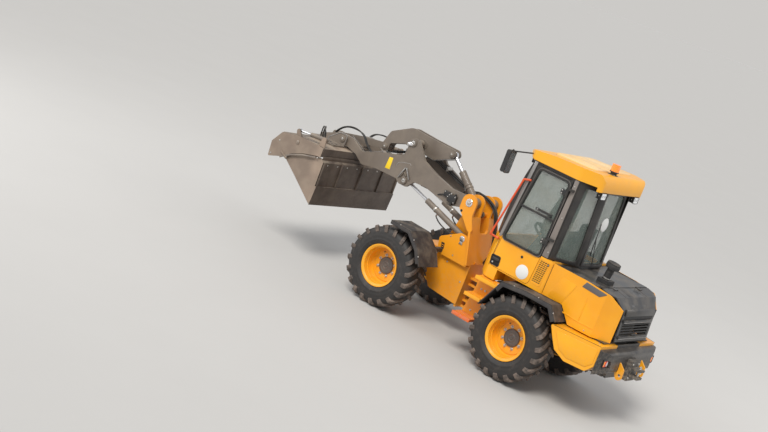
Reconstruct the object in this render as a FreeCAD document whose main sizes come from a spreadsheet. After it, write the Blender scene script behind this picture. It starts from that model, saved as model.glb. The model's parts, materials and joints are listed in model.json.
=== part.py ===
import FreeCAD, Part
import math
import os
import re
from types import SimpleNamespace

# A compact articulated wheel loader with a four-in-one bucket on a tool carrier.
# Millimetres and degrees. X is forward, Y is left, Z is up. Every piece is drawn from the
# articulation pin on the ground, and its Placement moves the pin to pin_x.

Vector = FreeCAD.Vector
doc = FreeCAD.newDocument("wheel_loader")
sheet = doc.addObject("Spreadsheet::Sheet", "sizes")

SIZES = [
    # place and stance
    ("pin_x", -472.0), ("wheelbase", 2100.0), ("track", 1430.0),
    # tyres, rims and hubs
    ("tyre_radius", 540.0), ("tyre_width", 400.0), ("lug_count", 20), ("lug_height", 24.0),
    ("lug_width", 52.0), ("lug_slant", 0.55), ("bead_width", 332.0), ("rim_seat_radius", 254.0),
    ("rim_lip_radius", 282.0), ("rim_lip_width", 11.0), ("rim_wall", 10.0), ("rim_disc", 18.0),
    ("disc_inset", 0.0), ("hub_bore_radius", 60.0), ("hub_cap_radius", 105.0), ("hub_cap_depth", 20.0),
    ("hub_flange_radius", 150.0), ("hub_flange_depth", 28.0), ("spindle_radius", 40.0),
    ("running_gap", 0.1), ("seat_gap", 0.3), ("moving_gap", 6.0),
    # axles
    ("axle_tube_radius", 72.0), ("axle_bowl_radius", 150.0), ("axle_end_radius", 120.0),
    ("axle_seat_height", 110.0), ("nose_length", 210.0), ("nose_radius", 60.0),
    # articulation
    ("hinge_radius", 95.0), ("hinge_plate", 25.0), ("hinge_low", 430.0), ("hinge_high", 740.0),
    ("shaft_radius", 28.0), ("joint_radius", 42.0), ("hinge_eye", 50.0),
    ("hinge_pin_radius", 32.0), ("hinge_pin_half", 58.0), ("steer_pin_front", 95.0),
    ("steer_pin_rear", -560.0), ("steer_pin_y", -215.0), ("steer_fork", 42.0), ("steer_pin_z", 620.0),
    # rear chassis
    ("chassis_half", 310.0), ("chassis_plate", 25.0), ("chassis_front", -200.0),
    ("chassis_rear", -2190.0), ("chassis_top", 1000.0), ("deck_half", 600.0), ("deck_plate", 12.0),
    # front frame and tower
    ("front_half", 225.0), ("front_plate", 25.0), ("tower_inner", 110.0), ("tower_plate", 30.0),
    ("tower_outer", 298.0), ("front_deck", 980.0), ("ear_radius", 115.0),
    # loader linkage, in the side plane at rest
    ("arm_pivot_x", 455.0), ("arm_pivot_z", 1715.0), ("arm_tip_x", 2734.0), ("arm_tip_z", 1701.0),
    ("crank_x", 1621.0), ("crank_z", 2088.0), ("crank_rear_x", 1125.0), ("crank_rear_z", 2140.0),
    ("crank_front_x", 2200.0), ("crank_front_z", 1830.0), ("lift_base_x", 380.0),
    ("lift_base_z", 1237.0), ("lift_rod_x", 1556.0), ("lift_rod_z", 1569.0), ("tilt_base_x", 420.0),
    ("tilt_base_z", 1580.0), ("carrier_arm", 350.0), ("carrier_angle", -7.0),
    ("arm_outer", 290.0), ("arm_plate", 45.0), ("arm_hub_radius", 72.0), ("pin_radius", 30.0),
    ("crank_plate", 28.0), ("crank_gap", 84.0), ("link_width", 60.0), ("link_depth", 90.0),
    ("lift_centre", 200.0), ("lift_barrel_radius", 40.0), ("lift_rod_radius", 21.0),
    ("tilt_barrel_radius", 50.0), ("tilt_rod_radius", 26.0), ("steer_barrel_radius", 34.0),
    ("steer_rod_radius", 17.0), ("eye_radius", 46.0), ("eye_width", 44.0), ("steer_eye_radius", 33.0),
    # bucket, drawn level from the arm tips' pin
    ("dump_angle", 90.0), ("bucket_half", 932.0), ("bucket_wall", 14.0), ("side_plate", 20.0),
    ("jaw_pin_x", 205.0), ("jaw_pin_z", 245.0), ("edge_plate", 26.0), ("carrier_half", 560.0),
    ("jaw_lever_x", 60.0), ("jaw_lever_z", 330.0), ("jaw_base_x", 15.0),
    ("jaw_base_z", -150.0), ("jaw_barrel_radius", 30.0),
    ("jaw_rod_radius", 14.0), ("jaw_eye", 26.0), ("jaw_pin_radius", 15.0),
    # cab
    ("cab_wall", 45.0), ("cab_low", 1060.0), ("arch_top", 1203.0), ("arch_front", -500.0),
    ("arch_inner", 470.0), ("arch_shelf", 12.0), ("cab_floor", 40.0), ("window_line", 1620.0),
    ("cab_top", 2650.0), ("glass_inset", 14.0), ("glass_plate", 8.0), ("door_gap", 6.0),
    ("door_hinge_x", -1008.0), ("door_hinge_y", 742.0), ("hinge_knuckle", 13.0),
    # engine cover and rear
    ("cover_wall", 12.0), ("cover_front", -1190.3), ("cover_half", 705.0), ("lid_gap", 8.0),
    ("lid_hinge_x", -1850.0), ("lid_hinge_z", 1606.0), ("cover_rear", -2160.0), ("weight_half", 900.0),
    ("fender_wall", 12.0), ("hitch_pin_radius", 17.0), ("ring_radius", 20.0),
]
given = dict(SIZES)
# sizes that follow others
SIZES += [
    ("fender_inner", given["track"] / 2 - given["tyre_width"] / 2 - 35),
    ("fender_outer", given["track"] / 2 + given["tyre_width"] / 2 + 10),
    ("jaw_half", given["bucket_half"] - 28), ("jaw_cylinder", given["bucket_half"] - 68),
]
for row, (alias, value) in enumerate(SIZES, start=1):
    sheet.set("A%d" % row, alias)
    sheet.set("B%d" % row, str(value))
    sheet.setAlias("B%d" % row, alias)
doc.recompute()
d = SimpleNamespace(**{alias: float(sheet.get(alias)) for alias, value in SIZES})

NODES = []
Y_AXIS = Vector(0, 1, 0)


def bind(obj, prop, text):
    """Bind a property to an expression over the sheet's cells."""
    obj.setExpression(prop, re.sub(r"\b([a-z]+(?:_[a-z]+)+)\b", r"sizes.\1", text))


def keep(label, obj):
    """Make an object a named sub-part, placed from the articulation pin."""
    obj.Label = label
    NODES.append(obj)
    return obj


def feature(label, shape):
    """A sub-part whose shape is built by Part's own functions."""
    obj = doc.addObject("Part::Feature", label)
    obj.Shape = shape
    return obj


def rounded(corners):
    """Lines and arcs round a closed outline; a corner is (u, v) or (u, v, radius)."""
    count = len(corners)
    cut = []
    for i, corner in enumerate(corners):
        here = Vector(corner[0], corner[1], 0)
        radius = corner[2] if len(corner) > 2 else 0.0
        if not radius:
            cut.append((here, None, here))
            continue
        before = Vector(corners[i - 1][0], corners[i - 1][1], 0) - here
        after = Vector(corners[(i + 1) % count][0], corners[(i + 1) % count][1], 0) - here
        half = before.getAngle(after) / 2
        reach = radius / math.tan(half)
        before.normalize()
        after.normalize()
        middle = (before + after).normalize()
        centre = here + middle * (radius / math.sin(half))
        cut.append((here + before * reach, centre - middle * radius, here + after * reach))
    edges = []
    for i, (start, middle, end) in enumerate(cut):
        if middle is not None:
            edges.append(Part.Arc(start, middle, end))
        following = cut[(i + 1) % count][0]
        if end.distanceToPoint(following) > 1e-6:
            edges.append(Part.LineSegment(end, following))
    return edges


PLANES = {
    "side": (FreeCAD.Rotation(Vector(1, 0, 0), 90), Vector(0, 1, 0)),
    "top": (FreeCAD.Rotation(), Vector(0, 0, 1)),
    "front": (FreeCAD.Rotation(Vector(1, 1, 1), 120), Vector(1, 0, 0)),
}


def slab(name, corners, start, depth, plane="side"):
    """A sketched outline extruded from start through depth, both bound to the sheet."""
    turn, normal = PLANES[plane]
    sketch = doc.addObject("Sketcher::SketchObject", name + "_outline")
    sketch.Placement = FreeCAD.Placement(Vector(), turn)
    bind(sketch, ".Placement.Base." + {"side": "y", "top": "z", "front": "x"}[plane], start)
    sketch.addGeometry(rounded(corners), False)
    solid = doc.addObject("Part::Extrusion", name)
    solid.Base = sketch
    solid.DirMode = "Custom"
    solid.Dir = normal
    solid.Solid = True
    bind(solid, "LengthFwd", depth)
    return solid


def turned(name, profile, base, angle=360.0):
    """A profile of (y, radius) revolved round the Y axis through base."""
    sketch = doc.addObject("Sketcher::SketchObject", name + "_profile")
    sketch.Placement = FreeCAD.Placement(base, FreeCAD.Rotation(Vector(1, 1, 1), 120))
    sketch.addGeometry(rounded(profile), False)
    solid = doc.addObject("Part::Revolution", name)
    solid.Source = sketch
    solid.Axis = Y_AXIS
    solid.Base = base
    solid.Angle = angle
    solid.Solid = True
    return solid


def rod(name, start, end, radius):
    """A bound cylinder between two points."""
    solid = doc.addObject("Part::Cylinder", name)
    along = end - start
    solid.Height = along.Length
    solid.Placement = FreeCAD.Placement(start, FreeCAD.Rotation(Vector(0, 0, 1), along))
    bind(solid, "Radius", radius)
    return solid


def cross(name, x, z, low, high, radius):
    """A cylinder along Y."""
    return rod(name, Vector(x, low, z), Vector(x, high, z), radius)


def block(name, low, high):
    """A box between two corners."""
    solid = doc.addObject("Part::Box", name)
    size = high - low
    solid.Length, solid.Width, solid.Height = size.x, size.y, size.z
    solid.Placement.Base = low
    return solid


def fuse(name, solids):
    joined = doc.addObject("Part::MultiFuse", name)
    joined.Shapes = solids
    return joined


def cut(name, base, tools):
    """Take one tool or several out of a solid."""
    result = doc.addObject("Part::Cut", name)
    result.Base = base
    result.Tool = tools[0] if len(tools) == 1 else fuse(name + "_tools", tools)
    return result


def compound(name, solid):
    """A node of a solid that also cuts its neighbours."""
    whole = doc.addObject("Part::Compound", name + "_node")
    whole.Links = [solid]
    return whole


def both(name, solids):
    """The solids with their mirror images on the other side."""
    whole = solids[0] if len(solids) == 1 else fuse(name + "_left", solids)
    mirror = doc.addObject("Part::Mirroring", name + "_right")
    mirror.Source = whole
    mirror.Normal = Y_AXIS
    return fuse(name, [whole, mirror])


def strip(line, wall):
    """The outline of a bent plate: a chain of points and its offset by wall."""
    def normal(a, b):
        along = Vector(b[0] - a[0], b[1] - a[1], 0).normalize()
        return Vector(-along.y, along.x, 0)
    normals = [normal(a, b) for a, b in zip(line, line[1:])]
    inner = []
    for i, point in enumerate(line):
        before = normals[max(i - 1, 0)]
        after = normals[min(i, len(normals) - 1)]
        middle = (before + after).normalize()
        inner.append((point[0] + middle.x * wall / middle.dot(before),
                      point[1] + middle.y * wall / middle.dot(before)))
    return list(line) + inner[::-1]


# Tyres, rims and hubs

PITCH = 360.0 / d.lug_count


def lug_reach():
    """Half the length round the tyre of a lug's flat top."""
    return (d.lug_slant * (0.6 * d.tyre_width / 2) + d.lug_width) / 2


AXLE_HEIGHT = d.tyre_radius * math.cos(
    math.radians(PITCH / 2) - math.asin(lug_reach() / d.tyre_radius))


def tyre_shape():
    """A faceted casing with slanting lugs, about the Y axis through the origin."""
    half = d.tyre_width / 2
    count = int(d.lug_count)
    crown = d.tyre_radius - d.lug_height
    bead = d.bead_width / 2
    bore = (d.rim_seat_radius + d.seat_gap) / math.cos(math.radians(PITCH / 2))
    flank = (d.rim_lip_radius + d.seat_gap) / math.cos(math.radians(PITCH / 2))
    # columns: y, radius
    profile = [(bead, bore), (bead, flank), (0.99 * half, 0.7 * d.tyre_radius),
               (0.94 * half, crown - 22), (0.55 * half, crown), (-0.55 * half, crown),
               (-0.94 * half, crown - 22), (-0.99 * half, 0.7 * d.tyre_radius),
               (-bead, flank), (-bead, bore)]

    def corner(point, step):
        turn = math.radians(PITCH * step)
        return Vector(point[1] * math.sin(turn), point[0], -point[1] * math.cos(turn))
    faces = []
    for step in range(count):
        for a, b in zip(profile, profile[1:] + profile[:1]):
            loop = [corner(a, step - 0.5), corner(b, step - 0.5),
                    corner(b, step + 0.5), corner(a, step + 0.5)]
            faces.append(Part.Face(Part.makePolygon(loop + loop[:1])))
    casing = Part.Solid(Part.Shell(faces))
    if casing.Volume < 0:
        casing.reverse()
    top = math.sqrt(d.tyre_radius ** 2 - lug_reach() ** 2)
    # columns: y, radius
    lug = [(8, crown - 22), (8, top), (0.6 * half, top), (0.97 * half, crown - 6),
           (half, crown - 76), (0.9 * half, crown - 76), (0.72 * half, crown - 34)]
    lugs = []
    for side, phase in ((1, 0.0), (-1, 0.5)):
        for step in range(count):
            points = [Vector(d.lug_slant * y - lug_reach(), side * y, -radius) for y, radius in lug]
            prism = Part.Face(Part.makePolygon(points + points[:1])).extrude(
                Vector(d.lug_width, 0, 0))
            prism.rotate(Vector(), Y_AXIS, PITCH * (step + phase))
            lugs.append(prism)
    return casing.multiFuse(lugs).removeSplitter()


def wheels():
    bead = d.bead_width / 2
    lip = bead + d.rim_lip_width
    seat = d.rim_seat_radius
    inner = seat - d.rim_wall
    disc = d.disc_inset
    # columns: y outwards from the wheel's centre, radius
    rim = [(lip, d.rim_lip_radius), (lip, d.rim_lip_radius - 12), (bead - 4, inner + 2),
           (disc + 22, inner - 8), (disc, inner - 20), (disc, d.hub_bore_radius),
           (disc - d.rim_disc, d.hub_bore_radius), (disc - d.rim_disc, inner - 6),
           (disc - 40, inner), (4 - bead, inner + 2), (-lip, d.rim_lip_radius - 12),
           (-lip, d.rim_lip_radius), (-bead - d.seat_gap, d.rim_lip_radius),
           (-bead - d.seat_gap, seat), (bead + d.seat_gap, seat),
           (bead + d.seat_gap, d.rim_lip_radius)]
    back = disc - d.rim_disc
    neck = d.hub_bore_radius
    hollow = d.spindle_radius + d.running_gap
    hub = [(disc, d.hub_cap_radius), (disc + d.hub_cap_depth, d.hub_cap_radius - 12),
           (disc + d.hub_cap_depth, 0), (-10, 0), (-10, hollow), (back - d.hub_flange_depth, hollow),
           (back - d.hub_flange_depth, d.hub_flange_radius), (back, d.hub_flange_radius),
           (back, neck), (disc, neck)]
    tread = tyre_shape()
    for place, x in (("front", d.wheelbase / 2), ("rear", -d.wheelbase / 2)):
        for side, sign in (("left", 1), ("right", -1)):
            name = place + "_" + side
            centre = Vector(x, sign * d.track / 2, AXLE_HEIGHT)
            rubber = tread.copy() if sign > 0 else tread.mirror(Vector(), Y_AXIS)
            rubber.translate(centre)
            keep("tyre_" + name, feature("tyre_" + name, rubber))
            pieces = [turned(piece + "_" + name, [(sign * y, radius) for y, radius in profile],
                             centre) for piece, profile in (("dish", rim), ("hub", hub))]
            keep("rim_" + name, fuse("rim_" + name, pieces))


# Axles and their seats

def axle(name, x, seat_inner, seat_outer):
    """A driven axle: bowl, two trumpets with spindles, and a seat under each frame plate."""
    hub_back = d.track / 2 + d.disc_inset - d.rim_disc - d.hub_flange_depth - d.seat_gap
    end = hub_back - d.seat_gap
    tube = d.axle_tube_radius
    half = [(0, d.axle_bowl_radius), (70, d.axle_bowl_radius), (150, tube + 6), (end - 110, tube),
            (end - 60, d.axle_end_radius), (end, d.axle_end_radius), (end, d.spindle_radius),
            (d.track / 2 - 14, d.spindle_radius), (d.track / 2 - 14, 0), (0, 0)]
    centre = Vector(x, 0, AXLE_HEIGHT)
    beam = turned(name + "_beam", half, centre)
    seat = block(name + "_seat", Vector(x - 85, seat_inner, AXLE_HEIGHT),
                 Vector(x + 85, seat_outer, AXLE_HEIGHT + d.axle_seat_height))
    nose = rod(name + "_nose", centre, centre + Vector(-math.copysign(d.nose_length, x), 0, 0),
               "nose_radius")
    keep(name, fuse(name, [both(name + "_pair", [beam, seat]), nose]))


# Articulation and steering

def hinge_tongue(name, low, high, reach, sign):
    """A flat ear round the articulation axis, running back to its frame."""
    radius = d.hinge_radius
    eye = rod(name + "_eye", Vector(0, 0, low), Vector(0, 0, high), "hinge_radius")
    body = block(name + "_body", Vector(min(0, sign * reach), -radius, low),
                 Vector(max(0, sign * reach), radius, high))
    return [eye, body]


def rear_chassis():
    top = d.chassis_top
    seat = AXLE_HEIGHT + d.axle_seat_height
    front = d.chassis_front
    outline = [(front, 430, 20), (-700, 430, 60), (-880, seat, 40), (-1230, seat, 40),
               (-1420, 520, 60), (d.chassis_rear, 560, 60), (d.chassis_rear, top),
               (-330, top, 60), (-330, 800, 60), (front, 800, 20)]
    plate = slab("chassis_side", outline, "chassis_half - chassis_plate", "chassis_plate")
    sides = both("chassis_sides", [plate])
    wide = d.chassis_half - d.chassis_plate / 2
    bulkhead = block("chassis_bulkhead", Vector(front, -wide, 395),
                     Vector(front + d.chassis_plate, wide, 800))
    window = block("steering_window", Vector(front - 10, -wide + 14, 540),
                   Vector(front + d.chassis_plate + 10, -112, 700))
    tail = block("chassis_tail", Vector(d.chassis_rear, -wide, 560),
                 Vector(d.chassis_rear + d.chassis_plate, wide, top))
    cross_member = block("chassis_cross", Vector(-560, -wide, top - 60), Vector(-480, wide, top))
    ears = []
    for name, middle in (("low", d.hinge_low), ("high", d.hinge_high)):
        ears += hinge_tongue("rear_ear_" + name, middle - d.hinge_eye / 2,
                             middle + d.hinge_eye / 2, -front, -1)
    bore = rod("rear_ear_bore", Vector(0, 0, 300), Vector(0, 0, 900), "hinge_pin_radius + running_gap")
    deck_plate = block("deck_plate_body", Vector(d.cover_rear + 20, -d.deck_half, top),
                       Vector(-1650, d.deck_half, top + d.deck_plate))
    deck_hole = block("deck_hole", Vector(-2100, -285, top - 5), Vector(-1640, 285, top + 30))
    mounts = both("cab_mounts", [rod("cab_mount_%d" % -x, Vector(x, 262, top - 30),
                                     Vector(x, 262, d.cab_low - d.seat_gap), "eye_radius")
                                 for x in (-420, -1130)])
    lugs = [block("steer_lug_" + str(z), Vector(d.steer_pin_rear - 45, -300, z),
                  Vector(d.steer_pin_rear + 40, d.steer_pin_y + 45, z + 20))
            for z in (d.steer_pin_z - d.steer_fork - 20, d.steer_pin_z + d.steer_fork)]
    pin = rod("steer_pin_rear_body",
              Vector(d.steer_pin_rear, d.steer_pin_y, d.steer_pin_z - d.steer_fork - 10),
              Vector(d.steer_pin_rear, d.steer_pin_y, d.steer_pin_z + d.steer_fork + 10), "steer_rod_radius")
    whole = fuse("chassis_whole", [sides, bulkhead, tail, cross_member, deck_plate, pin,
                                   mounts] + lugs + ears)
    way = rod("chassis_shaft_way", Vector(front - 20, 0, AXLE_HEIGHT), Vector(front + 60, 0, AXLE_HEIGHT),
              "nose_radius")
    keep("rear_chassis", cut("rear_chassis", whole, [bore, window, deck_hole, way]))


def front_frame():
    seat = AXLE_HEIGHT + d.axle_seat_height
    top = d.front_deck
    outline = [(150, 400, 20), (640, 430, 60), (800, seat, 40), (1330, seat, 40), (1330, 830, 60),
               (940, top, 40), (150, top)]
    plates = both("front_sides", [slab("front_side", outline, "front_half - front_plate",
                                       "front_plate")])
    wide = d.front_half - d.front_plate / 2
    back = block("front_bulkhead", Vector(150, -wide, 370), Vector(180, wide, top))
    way = rod("front_shaft_way", Vector(130, 0, AXLE_HEIGHT), Vector(200, 0, AXLE_HEIGHT), "nose_radius")
    deck = block("front_deck_plate", Vector(150, -wide, top - 25), Vector(940, wide, top))
    nose = block("front_nose", Vector(1180, -wide, seat + 40), Vector(1205, wide, 800))
    ear = d.ear_radius
    px, pz = d.arm_pivot_x, d.arm_pivot_z
    column = [(150, top - 20), (690, top - 20), (690, 1120, 60), (600, 1480, 80),
              (px + ear, pz + ear, ear - 1), (px - ear, pz + ear, ear - 1), (px - ear, 1560, 60),
              (190, top + 60, 40), (150, top + 20)]
    columns = both("tower_columns", [slab("tower_column", column, "tower_inner", "tower_plate")])
    # the web behind the columns, with its U-shaped top
    web = slab("tower_web", [(150, top - 20), (185, top - 20), (px - ear + 30, 1560),
                             (px - ear - 5, 1560)], "-tower_outer - tower_plate",
               "2 * tower_outer + 2 * tower_plate")
    notch = slab("tower_notch", [(-105, 1360, 60), (105, 1360, 60), (105, 1800), (-105, 1800)],
                 "arm_pivot_x - 4 * ear_radius", "4 * ear_radius", "front")
    shoulders = both("tower_shoulders", [slab(
        "tower_shoulder", [(335, 900), (335, 1360, 60), (700, 1700), (700, 900)],
        "arm_pivot_x - 4 * ear_radius", "3 * ear_radius + 40", "front")])
    outer = [(px + ear, pz + ear, ear - 1), (px - ear, pz + ear, ear - 1), (px - ear, 1560, 40),
             (250, 1370, 30), (330, 1370, 40), (px + ear, 1600, 60)]
    outers = both("tower_outers", [slab("tower_outer_ear", outer, "tower_outer", "tower_plate")])
    # carriers of the lift cylinders, outside the columns
    bracket = [(180, top - 60), (680, top - 60), (720, 1130, 40), (430, 1300, 50), (330, 1300, 50),
               (190, 1100, 40)]
    brackets = both("lift_brackets", [
        slab("lift_bracket", bracket, "lift_centre + eye_width / 2 + 30", "front_plate"),
        block("lift_bracket_foot", Vector(180, d.tower_inner, top - 25),
              Vector(690, d.lift_centre + 70, top))])
    pins = both("lift_base_pins", [cross("lift_base_pin", d.lift_base_x, d.lift_base_z,
                                         d.tower_inner, d.lift_centre + 70, "pin_radius")])
    pivots = both("arm_pivot_pins", [cross("arm_pivot_pin", px, pz, d.tower_inner,
                                           d.tower_outer + d.tower_plate + 12, "pin_radius")])
    forks = []
    for name, middle in (("low", d.hinge_low), ("high", d.hinge_high)):
        for where, start in (("under", middle - d.hinge_eye / 2 - 5 - d.hinge_plate),
                             ("over", middle + d.hinge_eye / 2 + 5)):
            forks += hinge_tongue("fork_" + name + "_" + where, start, start + d.hinge_plate, 160, 1)
    hinge_pins = [rod("hinge_pin_%d" % z, Vector(0, 0, z - d.hinge_pin_half),
                      Vector(0, 0, z + d.hinge_pin_half), "hinge_pin_radius")
                  for z in (d.hinge_low, d.hinge_high)]
    tilt_pin = cross("tilt_base_pin", d.tilt_base_x, d.tilt_base_z, -d.tower_inner - 10,
                     d.tower_inner + 10, "pin_radius")
    lugs = [block("steer_fork_" + str(z), Vector(d.steer_pin_front - 35, d.steer_pin_y - 30, z),
                  Vector(155, d.steer_pin_y + 35, z + 20))
            for z in (d.steer_pin_z - 48, d.steer_pin_z + 28)]
    whole = fuse("front_whole", [plates, back, deck, nose, columns, web, outers, brackets, pins,
                                 pivots] + hinge_pins + forks + lugs)
    keep("front_frame", fuse("front_frame", [cut("front_body", whole, [notch, shoulders, way]), tilt_pin]))


def drive_shafts():
    """The propeller shaft in two parts, jointed on the articulation axis."""
    z = AXLE_HEIGHT
    radius = d.joint_radius
    reach = d.wheelbase / 2 - d.nose_length - d.seat_gap
    eye = rod("shaft_eye", Vector(0, 0, z - 20), Vector(0, 0, z + 20), "joint_radius")
    neck = rod("shaft_neck", Vector(-radius + 6, 0, z), Vector(-reach, 0, z), "shaft_radius - 8")
    flange = rod("shaft_flange", Vector(-reach + 20, 0, z), Vector(-reach, 0, z), "nose_radius - 8")
    keep("rear_drive_shaft", fuse("rear_drive_shaft", [eye, neck, flange]))
    cheeks = []
    for tag, low in (("low", z - 46), ("high", z + 26)):
        cheeks.append(rod("yoke_" + tag, Vector(0, 0, low), Vector(0, 0, low + 20), "joint_radius"))
        cheeks.append(block("yoke_arm_" + tag, Vector(0, -30, low), Vector(78, 30, low + 20)))
    web = block("yoke_web", Vector(52, -30, z - 46), Vector(78, 30, z + 46))
    tube = rod("shaft_tube", Vector(70, 0, z), Vector(reach, 0, z), "shaft_radius")
    end = rod("shaft_end", Vector(reach - 20, 0, z), Vector(reach, 0, z), "nose_radius - 8")
    keep("front_drive_shaft", fuse("front_drive_shaft", cheeks + [web, tube, end]))


# Cylinders: an eyed barrel and an eyed rod on a line between two parallel pins

def cylinder(name, base, end, lengths, bores, eye, across=Y_AXIS, shifts=(0.0,)):
    """Like cylinders side by side; bores are the sheet's radii of barrel, rod and pin.

    lengths are those of the barrel and of the base to the piston end of the rod.
    """
    barrel_radius, rod_radius, pin = bores
    radius, width = eye
    length, piston = lengths
    along = (end - base).normalize()
    barrels = []
    rods = []
    for i, shift in enumerate(shifts):
        low, high = base + across * shift, end + across * shift
        gland = low + along * length
        tag = name + str(i)

        def ring(place, point):
            outer = rod(tag + place + "_eye", point - across * (width / 2),
                        point + across * (width / 2), radius)
            hole = rod(tag + place + "_hole", point - across * width, point + across * width,
                       pin + " + running_gap")
            return outer, hole
        size = getattr(d, radius)
        base_eye, base_hole = ring("_base", low)
        rod_eye, rod_hole = ring("_rod", high)
        outer = rod(tag + "_outer", low + along * (size - 8), gland, barrel_radius)
        inner = rod(tag + "_inner", low + along * (size + 20), gland + along * 10,
                    rod_radius + " + running_gap")
        shaft = rod(tag + "_shaft", low + along * piston, high - along * (size - 8),
                    rod_radius)
        barrels.append(cut(tag + "_barrel", fuse(tag + "_tube", [outer, base_eye]),
                           [inner, base_hole]))
        rods.append(cut(tag + "_rod", fuse(tag + "_stem", [shaft, rod_eye]), [rod_hole]))
    return [solids[0] if len(solids) == 1 else fuse(name + tag, solids)
            for tag, solids in (("_barrel", barrels), ("_rod", rods))]


def cylinders():
    pair = (d.lift_centre, -d.lift_centre)
    lift = cylinder("lift_cylinder", Vector(d.lift_base_x, 0, d.lift_base_z),
                    Vector(d.lift_rod_x, 0, d.lift_rod_z), (800, 420),
                    ("lift_barrel_radius", "lift_rod_radius", "pin_radius"),
                    ("eye_radius", d.eye_width), Y_AXIS, pair)
    tilt = cylinder("tilt_cylinder", Vector(d.tilt_base_x, 0, d.tilt_base_z),
                    Vector(d.crank_rear_x, 0, d.crank_rear_z), (640, 100),
                    ("tilt_barrel_radius", "tilt_rod_radius", "pin_radius"),
                    ("eye_radius", d.eye_width))
    steer = cylinder("steering_cylinder", Vector(d.steer_pin_rear, d.steer_pin_y, d.steer_pin_z),
                     Vector(d.steer_pin_front, d.steer_pin_y, d.steer_pin_z), (430, 240),
                     ("steer_barrel_radius", "steer_rod_radius", "steer_rod_radius"),
                     ("steer_eye_radius", d.eye_width), Vector(0, 0, 1))
    for name, pieces in (("lift_cylinder", lift), ("tilt_cylinder", tilt),
                         ("steering_cylinder", steer)):
        keep(name + "_barrel", pieces[0])
        keep(name + "_rod", pieces[1])
    jaw = cylinder("jaw_cylinder", Vector(d.jaw_base_x, 0, d.jaw_base_z),
                   Vector(d.jaw_lever_x, 0, d.jaw_lever_z), (270, 222),
                   ("jaw_barrel_radius", "jaw_rod_radius", "jaw_pin_radius"),
                   ("jaw_barrel_radius", d.jaw_eye), Y_AXIS, (d.jaw_cylinder, -d.jaw_cylinder))
    tipped("jaw_cylinder_barrel", jaw[0])
    tipped("jaw_cylinder_rod", jaw[1])


# Lift arms, bell crank and link

def lift_arms():
    px, pz = d.arm_pivot_x, d.arm_pivot_z
    tx, tz = d.arm_tip_x, d.arm_tip_z
    outline = [(px - 20, pz + 72, 60), (800, 1770, 60), (1097, 1842, 200), (1358, 1935, 60),
               (1555, 2085 + 66, 64), (1690, 2085 + 66, 64), (1688, 1886, 80), (2091, 1766, 100),
               (2376, 1651, 120), (2600, 1765, 60), (tx + 72, tz + 68, 66), (tx + 72, tz - 68, 60),
               (2680, tz - 69, 40), (2470, 1585, 60), (2320, 1492, 60), (2075, 1536, 100), (1700, 1545, 30),
               (1625, 1500, 30), (1500, 1500, 40), (1400, 1610, 40), (1205, 1623, 100),
               (780, 1545, 60), (px - 20, pz - 72, 60), (px - 80, pz, 50)]
    inner = "arm_outer - arm_plate"
    plate = slab("arm_side", outline, inner, "arm_plate")
    hub = cross("arm_hub", px, pz, d.tower_inner + d.tower_plate + d.moving_gap, d.arm_outer,
                "arm_hub_radius")
    crank_boss = cross("arm_crank_boss", d.crank_x, d.crank_z, 110, d.arm_outer + 10, "eye_radius + 8")
    tip_boss = cross("arm_tip_boss", tx, tz, d.arm_outer - d.arm_plate - 14, d.arm_outer + 6,
                     "arm_hub_radius - 6")
    rod_boss = cross("arm_rod_boss", d.lift_rod_x, d.lift_rod_z,
                     d.lift_centre + d.eye_width / 2 + d.moving_gap, d.arm_outer + 14, "eye_radius")
    arms = both("arm_pair", [plate, hub, crank_boss, tip_boss, rod_boss])
    wide = d.arm_outer - d.arm_plate / 2
    rear_tube = cross("arm_rear_tube", 800, 1660, -wide, wide, "eye_radius + 10")
    front_tube = cross("arm_front_tube", 2370, 1588, -wide, wide, "eye_radius + 4")
    crank_pin = cross("arm_crank_pin", d.crank_x, d.crank_z, -120, 120, "pin_radius")
    whole = fuse("arm_whole", [arms, rear_tube, front_tube, crank_pin])
    pivot = cross("arm_pivot_bore", px, pz, -400, 400, "pin_radius + running_gap")
    tip = cross("arm_tip_bore", tx, tz, -400, 400, "pin_radius + running_gap")
    keep("lift_arms", cut("lift_arms", whole, [pivot, tip]))


def bell_crank():
    inner = d.crank_gap / 2
    cx, cz = d.crank_x, d.crank_z
    rx, rz = d.crank_rear_x, d.crank_rear_z
    fx, fz = d.crank_front_x, d.crank_front_z
    outline = [(rx - 60, rz, 50), (rx - 20, rz + 66, 50), (1500, 2215, 120), (1860, 2235, 160),
               (2190, 2060, 90), (fx + 60, fz + 40, 50), (fx + 60, fz - 60, 50), (fx - 60, fz - 60, 50),
               (fx - 60, 1900, 40), (1900, 1985, 120), (1620, 1985, 80), (1380, 1960, 60),
               (rx, rz - 60, 50)]
    plate = slab("crank_cheek", outline, "crank_gap / 2", "crank_plate")
    cheeks = both("crank_cheeks", [plate])
    hub = cross("crank_hub", cx, cz, -inner - d.crank_plate - 8, inner + d.crank_plate + 8,
                "arm_hub_radius")
    web = block("crank_web", Vector(1660, -inner - 4, 2130), Vector(1900, inner + 4, 2150))
    bosses = both("crank_bosses", [cross("crank_boss", x, z, inner + 2, inner + d.crank_plate + 10,
                                         "eye_radius") for x, z in ((fx, fz), (rx, rz))])
    bore = cross("crank_bore", cx, cz, -200, 200, "pin_radius + running_gap")
    rear = cross("crank_rear_bore", rx, rz, -200, 200, "pin_radius + running_gap")
    front = cross("crank_front_bore", fx, fz, -200, 200, "pin_radius + running_gap")
    whole = fuse("crank_whole", [cheeks, hub, web, bosses])
    keep("bell_crank", cut("bell_crank", whole, [bore, rear, front]))


def link_end():
    """The link's front pin, on the carrier's upper ears."""
    turn = math.radians(d.carrier_angle)
    return Vector(d.arm_tip_x + d.carrier_arm * math.cos(turn), 0,
                  d.arm_tip_z + d.carrier_arm * math.sin(turn))


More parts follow.
